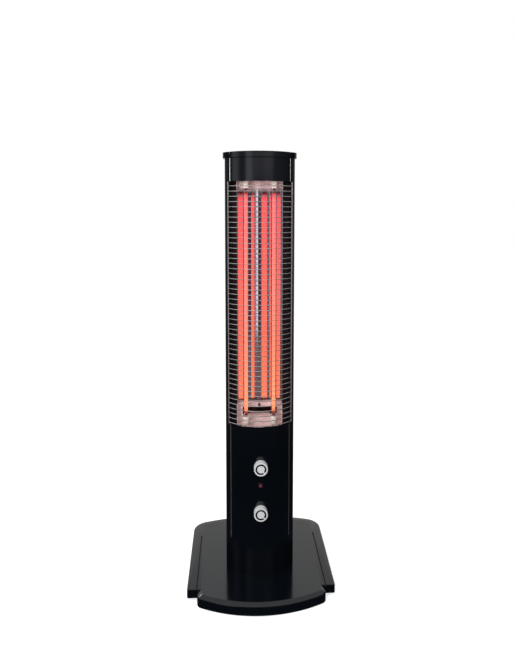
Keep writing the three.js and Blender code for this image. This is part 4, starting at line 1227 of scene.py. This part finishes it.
tail_z = tube_low.z - cap_tail
bow_z = (floor_high.z + tail_z) / 2
for name, side in (("left", -1), ("right", 1)):
    x = side * lamp_x
    low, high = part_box(f"{name}_lower_lead")
    end_x, end_y = side * terminal_x, low.y + lead_radius
    route = [(x, lamp_y, high.z), (x, lamp_y, tail_z - straight_end)]
    route += [(x - lead_bow, lamp_y, bow_z), (x, lamp_y, floor_high.z + straight_end)]
    route += [(x, lamp_y, floor_low.z), (end_x, end_y, low.z + terminal_rise)]
    route += [(end_x, end_y, low.z)]
    lead = lead_curve(f"{name}_lead", route)
    finish_piece(lead, "heater", "lead_sleeve", sleeve, f"{name}_lower_lead", smooth=60)

# %% [markdown]
# The two knobs are turned from aluminium bar. The side keeps shallow lines round it from the
# lathe, which spread the light along the knob. Real ones are too fine to show, so they are drawn
# 3 mm apart. The face is smooth, and a ring of black enamel is let into it, broken by a bridge that
# serves as the pointer. The outline is turned about the knob's own axis, and the ring's groove is a
# section spun through all but the pointer's width.

# %% Turned aluminium
# At scale 1 a wave pattern repeats every 314.16 mm.
wave_band = 314.16
line_pitch = 3.1416

turned_metal, tree, shader, place = new_finish("turned_aluminium", "#F4F5F6", Metallic=0.52)
turning = {"Scale": wave_band / line_pitch, "Distortion": 0.4}
lines = add_node(tree, "TexWave", turning, {"Vector": place}, bands_direction="Y")
vary(tree, shader, lines.outputs["Fac"], rough=(0.3, 0.4), relief=(1.0, 0.1))
print(f"{turned_metal.name}: a line every {line_pitch:.1f} mm")

# %% [markdown]
# The ring's enamel is as glossy as the base. The gland and the parts inside are nylon with a fine
# spark-eroded grain, and the feet are rubber with a coarser and duller one.

# %% Enamel, nylon and rubber
grain_spread = 0.08


def plastic_finish(name, hex_code, roughness, grain_size):
    finish, tree, shader, place = new_finish(name, hex_code, IOR=1.5)
    spark = {"Scale": scale_of(grain_size), "Detail": 3}
    grain = add_node(tree, "TexNoise", spark, {"Vector": place})
    rough = (roughness - grain_spread, roughness + grain_spread)
    vary(tree, shader, grain.outputs[0], rough=rough, relief=(0.2, 0.05))
    return finish


ring_enamel = gloss_black_finish("black_enamel")
black_plastic = plastic_finish("black_moulded_nylon", "#0F1012", 0.45, 0.6)
rubber = plastic_finish("black_rubber", "#141414", 0.85, 1.2)
print("enamel, nylon and rubber are ready")

# %% Knobs
knob_radius = 14.2 * MM
ring_outer = 11.4 * MM
ring_inner = 7.8 * MM
ring_depth = 1 * MM
ring_thickness = 0.6 * MM
ring_play = 0.1 * MM
recess_radius = 6.6 * MM
recess_depth = 2 * MM
bore_radius = 3.3 * MM
bore_depth = 10 * MM
pointer_width = 2.4 * MM
pointer_bearing = radians(48)


def part_ring(z, inner, outer, y0, y1, bridge):
    """A ring about Y of square section that leaves a bridge of that width at the pointer."""
    gap_angle = asin(bridge / (inner + outer))
    section = [(inner, y0), (outer, y0), (outer, y1), (inner, y1)]
    bm = bmesh.new()
    bm.faces.new([bm.verts.new((radius, y, 0)) for radius, y in section])
    turn = Matrix.Rotation(pointer_bearing + gap_angle, 4, "Y")
    bmesh.ops.transform(bm, matrix=Matrix.Translation((0, 0, z)) @ turn, verts=bm.verts[:])
    sweep(bm, bm.faces[:], (0, 0, z), radians(360) - 2 * gap_angle, 72, BACK)
    bmesh.ops.recalc_face_normals(bm, faces=bm.faces[:])
    return bm


def knob_mesh(z, front, back):
    """The turned knob, with a recess and a bore for the shaft behind."""
    recess_y, bore_y = back - recess_depth, back - bore_depth
    outline = [(0, front), (knob_radius, front), (knob_radius, back), (recess_radius, back)]
    outline += [(recess_radius, recess_y), (bore_radius, recess_y), (bore_radius, bore_y)]
    return lathe([*outline, (0, bore_y)], BACK, (0, 0, z), steps=96)


for control in ("regulator", "selector"):
    node, body = f"{control}_knob", f"{control}_knob_body"
    low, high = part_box(node)
    z, front = middle_of(node).z, low.y
    knob = solid(f"{control}_dial", knob_mesh(z, front, high.y))
    y0, y1 = front - beyond, front + ring_depth
    combine(knob, part_ring(z, ring_inner, ring_outer, y0, y1, pointer_width))
    finish_piece(knob, body, "knob_aluminium", turned_metal, node, edge=0.3 * MM)
    inner, outer = ring_inner + ring_play, ring_outer - ring_play
    width = pointer_width + 2 * ring_play
    y1 -= ring_play
    ring = solid(f"{control}_ring", part_ring(z, inner, outer, y1 - ring_thickness, y1, width))
    finish_piece(ring, body, "black_plastic", ring_enamel, f"{control}_knob_ring")

# %% [markdown]
# Between the knobs sits the indicator, a small dome of red polycarbonate with a lamp behind it.
# Lit, its middle is bright and its rim stays deep red, so the glow falls off with the distance
# from the lens's axis.

# %% Red polycarbonate
lens_low, lens_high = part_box("indicator_lens")
lens_centre = middle_of("indicator_lens")
dome_radius = 4.5 * MM

lit = {"Roughness": 0.3, "IOR": 1.5, "Emission_Strength": 0.9}
red_lens, tree, shader, place = new_finish("red_polycarbonate_lens", "#160106", **lit)
centred = {"Location": (0.0, 0.0, -lens_centre.z)}
own = add_node(tree, "Mapping", centred, {"Vector": place})
split = add_node(tree, "SeparateXYZ", links={"Vector": own.outputs[0]})
across = {"X": split.outputs["X"], "Z": split.outputs["Z"]}
flat = add_node(tree, "CombineXYZ", links=across)
reach = add_node(tree, "VectorMath", links={0: flat.outputs[0]}, operation="LENGTH")
span = {"From Min": 0.0, "From Max": dome_radius}
share = add_node(tree, "MapRange", span, {"Value": reach.outputs["Value"]})
lens_tones = [(0.42, "#6E4450"), (0.6, "#120004")]
glow = add_node(tree, "ValToRGB", links={"Fac": share.outputs[0]}, stops=lens_tones)
tree.links.new(glow.outputs[0], shader.inputs["Emission Color"])
print(f"{red_lens.name} is ready")

# %% Indicator
flange_radius = 6.2 * MM
flange_thickness = 1.5 * MM
flange_y = column_low.y - flange_thickness
seat_y = column_low.y - joint_gap
dome_steps = 8


def lens_outline():
    """The dome's quarter arc, the flange in front of the panel and the stem behind it."""
    outline = []
    for i in range(dome_steps + 1):
        angle = quarter * i / dome_steps
        depth = flange_y - (flange_y - lens_low.y) * cos(angle)
        outline.append((dome_radius * sin(angle), depth))
    outline += [(flange_radius, flange_y), (flange_radius, seat_y), (lens_stem_radius, seat_y)]
    return outline + [(lens_stem_radius, lens_high.y), (0, lens_high.y)]


lens = solid("red_lens", lathe(lens_outline(), BACK, (0, 0, lens_centre.z), steps=48))
finish_piece(lens, "heater", "red_lens", red_lens, "indicator_lens", edge=0.2 * MM, segments=2)

# %% [markdown]
# Small parts finish the outside: four rubber feet under the ballast plate, four pan-head screws
# with a cross recess that hold the back on, and the gland where the supply cord would enter.

# %% Feet
foot_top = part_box("foot_front_right")[1].z
foot_radius = 11 * MM
foot_bevel = 1.5 * MM
pad_height = 7.7 * MM
stud_radius = 4 * MM
foot_outline = [(0, 0), (foot_radius - foot_bevel, 0), (foot_radius, foot_bevel)]
foot_outline += [(foot_radius, pad_height), (stud_radius, pad_height), (stud_radius, foot_top)]
foot_outline += [(0, foot_top)]

for corner in ("front_left", "front_right", "rear_left", "rear_right"):
    centre = middle_of(f"foot_{corner}")
    foot = solid(f"pad_{corner}", lathe(foot_outline, UP, (centre.x, centre.y, 0), steps=40))
    finish_piece(foot, "heater", "rubber", rubber, f"foot_{corner}", edge=0.5 * MM)

# %% [markdown]
# Zinc plating is pale and slightly blue, with soft cloudy patches where the crystals differ.

# %% Zinc-plated steel
cloud_size = 6.0
zinc, tree, shader, place = new_finish("zinc_plated_steel", "#A3A8AD", Metallic=1.0)
cloud = add_node(tree, "TexVoronoi", {"Scale": scale_of(cloud_size)}, {"Vector": place})
cloud_tones = [(0.0, "#8E949A"), (1.0, "#B4B8BC")]
vary(tree, shader, cloud.outputs[0], rough=(0.3, 0.45), tones=cloud_tones)
print(f"{zinc.name}: clouds {cloud_size} mm wide")

# %% Rear screws
rear = housing_high.y + joint_gap
shank_radius = 1.8 * MM
head_radius = 3.5 * MM
head_edge_y = rear + 1.1 * MM
crown_radius = 2.6 * MM
crown_y = rear + 1.8 * MM
cross_length = 2.0 * MM
cross_width = 0.45 * MM
cross_floor_y = rear + 0.7 * MM


def screw_shape(name, node):
    low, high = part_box(node)
    centre = middle_of(node)
    outline = [(0, low.y), (shank_radius, low.y), (shank_radius, rear), (head_radius, rear)]
    outline += [(head_radius, head_edge_y), (crown_radius, crown_y), (0, high.y)]
    shape = solid(name, lathe(outline, BACK, (centre.x, 0, centre.z), steps=32))
    for x, z in ((cross_length, cross_width), (cross_width, cross_length)):
        sides = (centre.x - x, centre.x + x, cross_floor_y, rear + beyond)
        combine(shape, block(*sides, centre.z - z, centre.z + z))
    return shape


for corner in ("lower_left", "lower_right", "upper_left", "upper_right"):
    node = f"rear_screw_{corner}"
    finish_piece(screw_shape(f"screw_{corner}", node), "heater", "zinc_steel", zinc, node)

# %% Cord gland
gland_low, gland_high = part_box("cord_gland")
gland_bore = 3.6 * MM
gland_stem = 6 * MM
gland_rim = 9 * MM
rim_bevel = 1 * MM
gland_outline = [(gland_bore, gland_low.y), (gland_stem, gland_low.y), (gland_stem, rear)]
gland_outline += [(gland_rim, rear), (gland_rim, gland_high.y - rim_bevel)]
gland_outline += [(gland_rim - rim_bevel, gland_high.y), (gland_bore, gland_high.y)]
gland_z = middle_of("cord_gland").z
gland = solid("gland", lathe(gland_outline, BACK, (0, 0, gland_z), steps=48))
finish_piece(gland, "heater", "black_plastic", black_plastic, "cord_gland", edge=0.3 * MM)

# %% [markdown]
# The pieces inside the column are plain folded plates and moulded blocks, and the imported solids
# already have their true shape. They stay, and only take their finish.

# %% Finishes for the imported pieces
plates = ["ballast_plate", "tower_bracket", "bottom_frame", "top_frame"]
plates += ["chamber_floor", "chamber_top"]
mouldings = ["thermal_cutout", "regulator_body", "selector_body", "indicator_holder"]
mouldings += ["tip_switch_body", "tip_switch_plunger"]
kept = {
    zinc: [*plates, "regulator_shaft", "selector_shaft", *base_screws],
    chamber_black_with_painted_glow: ["lamp_housing"],
    black_plastic: mouldings,
    ceramic: ["terminal_block"],
    sleeve: ["left_upper_lead", "right_upper_lead"],
}
for finish, names in kept.items():
    for name in names:
        node_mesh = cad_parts[name].data
        node_mesh.materials.clear()
        node_mesh.materials.append(finish)
    print(f"{finish.name}: {len(names)} packed pieces")

# %% [markdown]
# The studio is plain: an even pale room, two large soft lamps above and in front, a small one
# close by, and a small window behind on the left, the only lamp that mirrors show. A gloss-black
# object shows nothing but its room, so what stands round it matters more than the lamps. The floor
# and the room are white wherever the camera, a mirror or glass looks at them, and the floor still
# takes the heater's shadow.

# %% Room and floor
room_light = 0.7
floor_glow = 0.7
floor_half = 6.0
floor_grey = (0.45, 0.45, 0.45, 1.0)
white = colour("#FFFFFF")


def seen_directly(tree):
    """1 for a ray from the camera, a mirror or through glass, and 0 for diffuse light."""
    path = add_node(tree, "LightPath")
    pair = {0: path.outputs["Is Camera Ray"], 1: path.outputs["Is Glossy Ray"]}
    either = add_node(tree, "Math", links=pair, operation="MAXIMUM")
    pair = {0: either.outputs[0], 1: path.outputs["Is Transmission Ray"]}
    return add_node(tree, "Math", links=pair, operation="MAXIMUM").outputs[0]


world = bpy.data.worlds.new("room")
world.use_nodes = True
bpy.context.scene.world = world
room = world.node_tree
room.nodes.clear()
lit = add_node(room, "Background", {"Color": white, "Strength": room_light})
seen = add_node(room, "Background", {"Color": white, "Strength": 1.0})
links = {"Fac": seen_directly(room), 1: lit.outputs[0], 2: seen.outputs[0]}
mixed = add_node(room, "MixShader", links=links)
add_node(room, "OutputWorld", links={"Surface": mixed.outputs[0]})

floor_mesh = bmesh.new()
bmesh.ops.create_grid(floor_mesh, x_segments=1, y_segments=1, size=floor_half)
floor = solid("floor", floor_mesh)

floor_white, tree = bare_material("white_floor")
matt = add_node(tree, "BsdfDiffuse", {"Color": floor_grey})
links = {0: seen_directly(tree)}
strength = add_node(tree, "Math", {1: floor_glow}, links, operation="MULTIPLY")
glow = add_node(tree, "Emission", {"Color": white}, {"Strength": strength.outputs[0]})
both = add_node(tree, "AddShader", links={0: matt.outputs[0], 1: glow.outputs[0]})
add_node(tree, "OutputMaterial", links={"Surface": both.outputs[0]})
floor.data.materials.append(floor_white)
print(f"room light {room_light}, floor {2 * floor_half} m square")

# %% Soft light
def soft_light(name, place, size, power, target=(0, 0, 0.3)):
    """A square lamp that mirrors and glass don't show."""
    lamp = bpy.data.lights.new(name, "AREA")
    lamp.shape = "SQUARE"
    lamp.size = size
    lamp.energy = power
    holder = put_in_scene(name, lamp)
    holder.location = place
    aim = Vector(target) - Vector(place)
    holder.rotation_euler = aim.to_track_quat("-Z", "Y").to_euler()
    holder.visible_glossy = False
    holder.visible_transmission = False
    print(f"{name}: {size} m, {power} W")
    return holder


soft_light("overhead", (-0.6, -0.5, 2.6), 1.6, 26)
soft_light("front", (-1.3, -2.4, 1.7), 1.4, 28, (0, 0, 0.5))
soft_light("near", (-0.22, -0.8, 0.85), 0.3, 4.5)
window = soft_light("window", (-1.38, 0.86, 1.53), 0.4, 7)
window.visible_glossy = True

# %% [markdown]
# Photographers put dark cards round gloss-black things, just out of the picture, so that the
# surface stays deep instead of turning grey. Here a dark round sheet lies on the floor, paler
# towards its rim, and a tall curved screen with soft upright bands stands beyond the camera, with
# a low card before it. Only mirrors and glass see them. The bands are what the curved panels show
# as soft upright stripes.

# %% Cards
card_distance = 2.4


def card(name, bm, tones, turned=True, strength=1.0):
    """A sheet that only mirrors and glass see. Its tones run round the heater's axis, from
    behind by way of the left, or outwards from that axis if it isn't turned."""
    shape = solid(name, bm)
    paper, tree = bare_material(name)
    place = add_node(tree, "TexCoord").outputs["Object"]
    if turned:
        ahead = add_node(tree, "Mapping", {"Rotation": (0, 0, quarter)}, {"Vector": place})
        links = {"Vector": ahead.outputs[0]}
        share = add_node(tree, "TexGradient", links=links, gradient_type="RADIAL").outputs["Fac"]
    else:
        reach = add_node(tree, "VectorMath", links={0: place}, operation="LENGTH")
        links = {"Value": reach.outputs["Value"]}
        share = add_node(tree, "MapRange", {"From Max": card_distance}, links).outputs[0]
    ramp = add_node(tree, "ValToRGB", links={"Fac": share}, stops=tones)
    flat = add_node(tree, "Emission", {"Strength": strength}, {"Color": ramp.outputs[0]})
    add_node(tree, "OutputMaterial", links={"Surface": flat.outputs[0]})
    shape.data.materials.append(paper)
    shape.visible_camera = False
    shape.visible_diffuse = False
    shape.visible_shadow = False
    print(f"{name}: {len(tones)} tones")


def standing_screen(start, end, distance, height):
    """A curved screen between two bearings, in degrees to the right of the heater's front."""
    bm = bmesh.new()
    x, y = distance * sin(radians(start)), -distance * cos(radians(start))
    foot_to_head = edge_between(bm, (x, y, 0), (x, y, height))
    sweep(bm, foot_to_head, (0, 0, 0), radians(end - start), 40)
    return bm


print("cards can be stood round the heater")

# %% Cards in place
floor_tones = [(0.0, "#2C313B"), (0.08, "#2C313B"), (0.2, "#1A1D22"), (0.41, "#1A1D22")]
floor_tones += [(0.46, "#806A6E"), (1.0, "#806A6E")]
low_tones = [(0.0, "#4A2A34"), (1.0, "#4A2A34")]
low_distance = 0.96 * card_distance
low_height = 0.95
screen_strength = 1.65
# Bearings in degrees to the right of the heater's front.
screen_tones = [(-150, "#CCCCCC"), (-116, "#CCCCCC"), (-111, "#15191D"), (-84, "#1F2327")]
screen_tones += [(-76, "#C3C5C7"), (-62, "#B6B8BB"), (-55, "#5C5F63"), (-42, "#696A6F")]
screen_tones += [(-34, "#E8E0F0"), (-24, "#E8E0F0"), (-19, "#A5A5A9"), (8, "#A5A5A9")]
screen_tones += [(14, "#BCB8BF"), (33, "#BCB8BF"), (40, "#716D73"), (84, "#464346")]
screen_tones += [(92, "#231F21"), (114, "#231F21"), (119, "#CCCCCC")]
stops = [(0.5 + bearing / 360, tone) for bearing, tone in screen_tones]

floor_disc = bmesh.new()
disc = {"cap_ends": True, "segments": 48, "radius": card_distance}
bmesh.ops.create_circle(floor_disc, matrix=Matrix.Translation((0, 0, MM)), **disc)
card("floor_card", floor_disc, floor_tones, turned=False)
screen = standing_screen(-150, 150, card_distance, card_distance)
card("front_screen", screen, stops, strength=screen_strength)
card("low_card", standing_screen(-16, 40, low_distance, low_height), low_tones)

# %% [markdown]
# The picture is shown without any grading.

bpy.context.scene.view_settings.view_transform = "Standard"
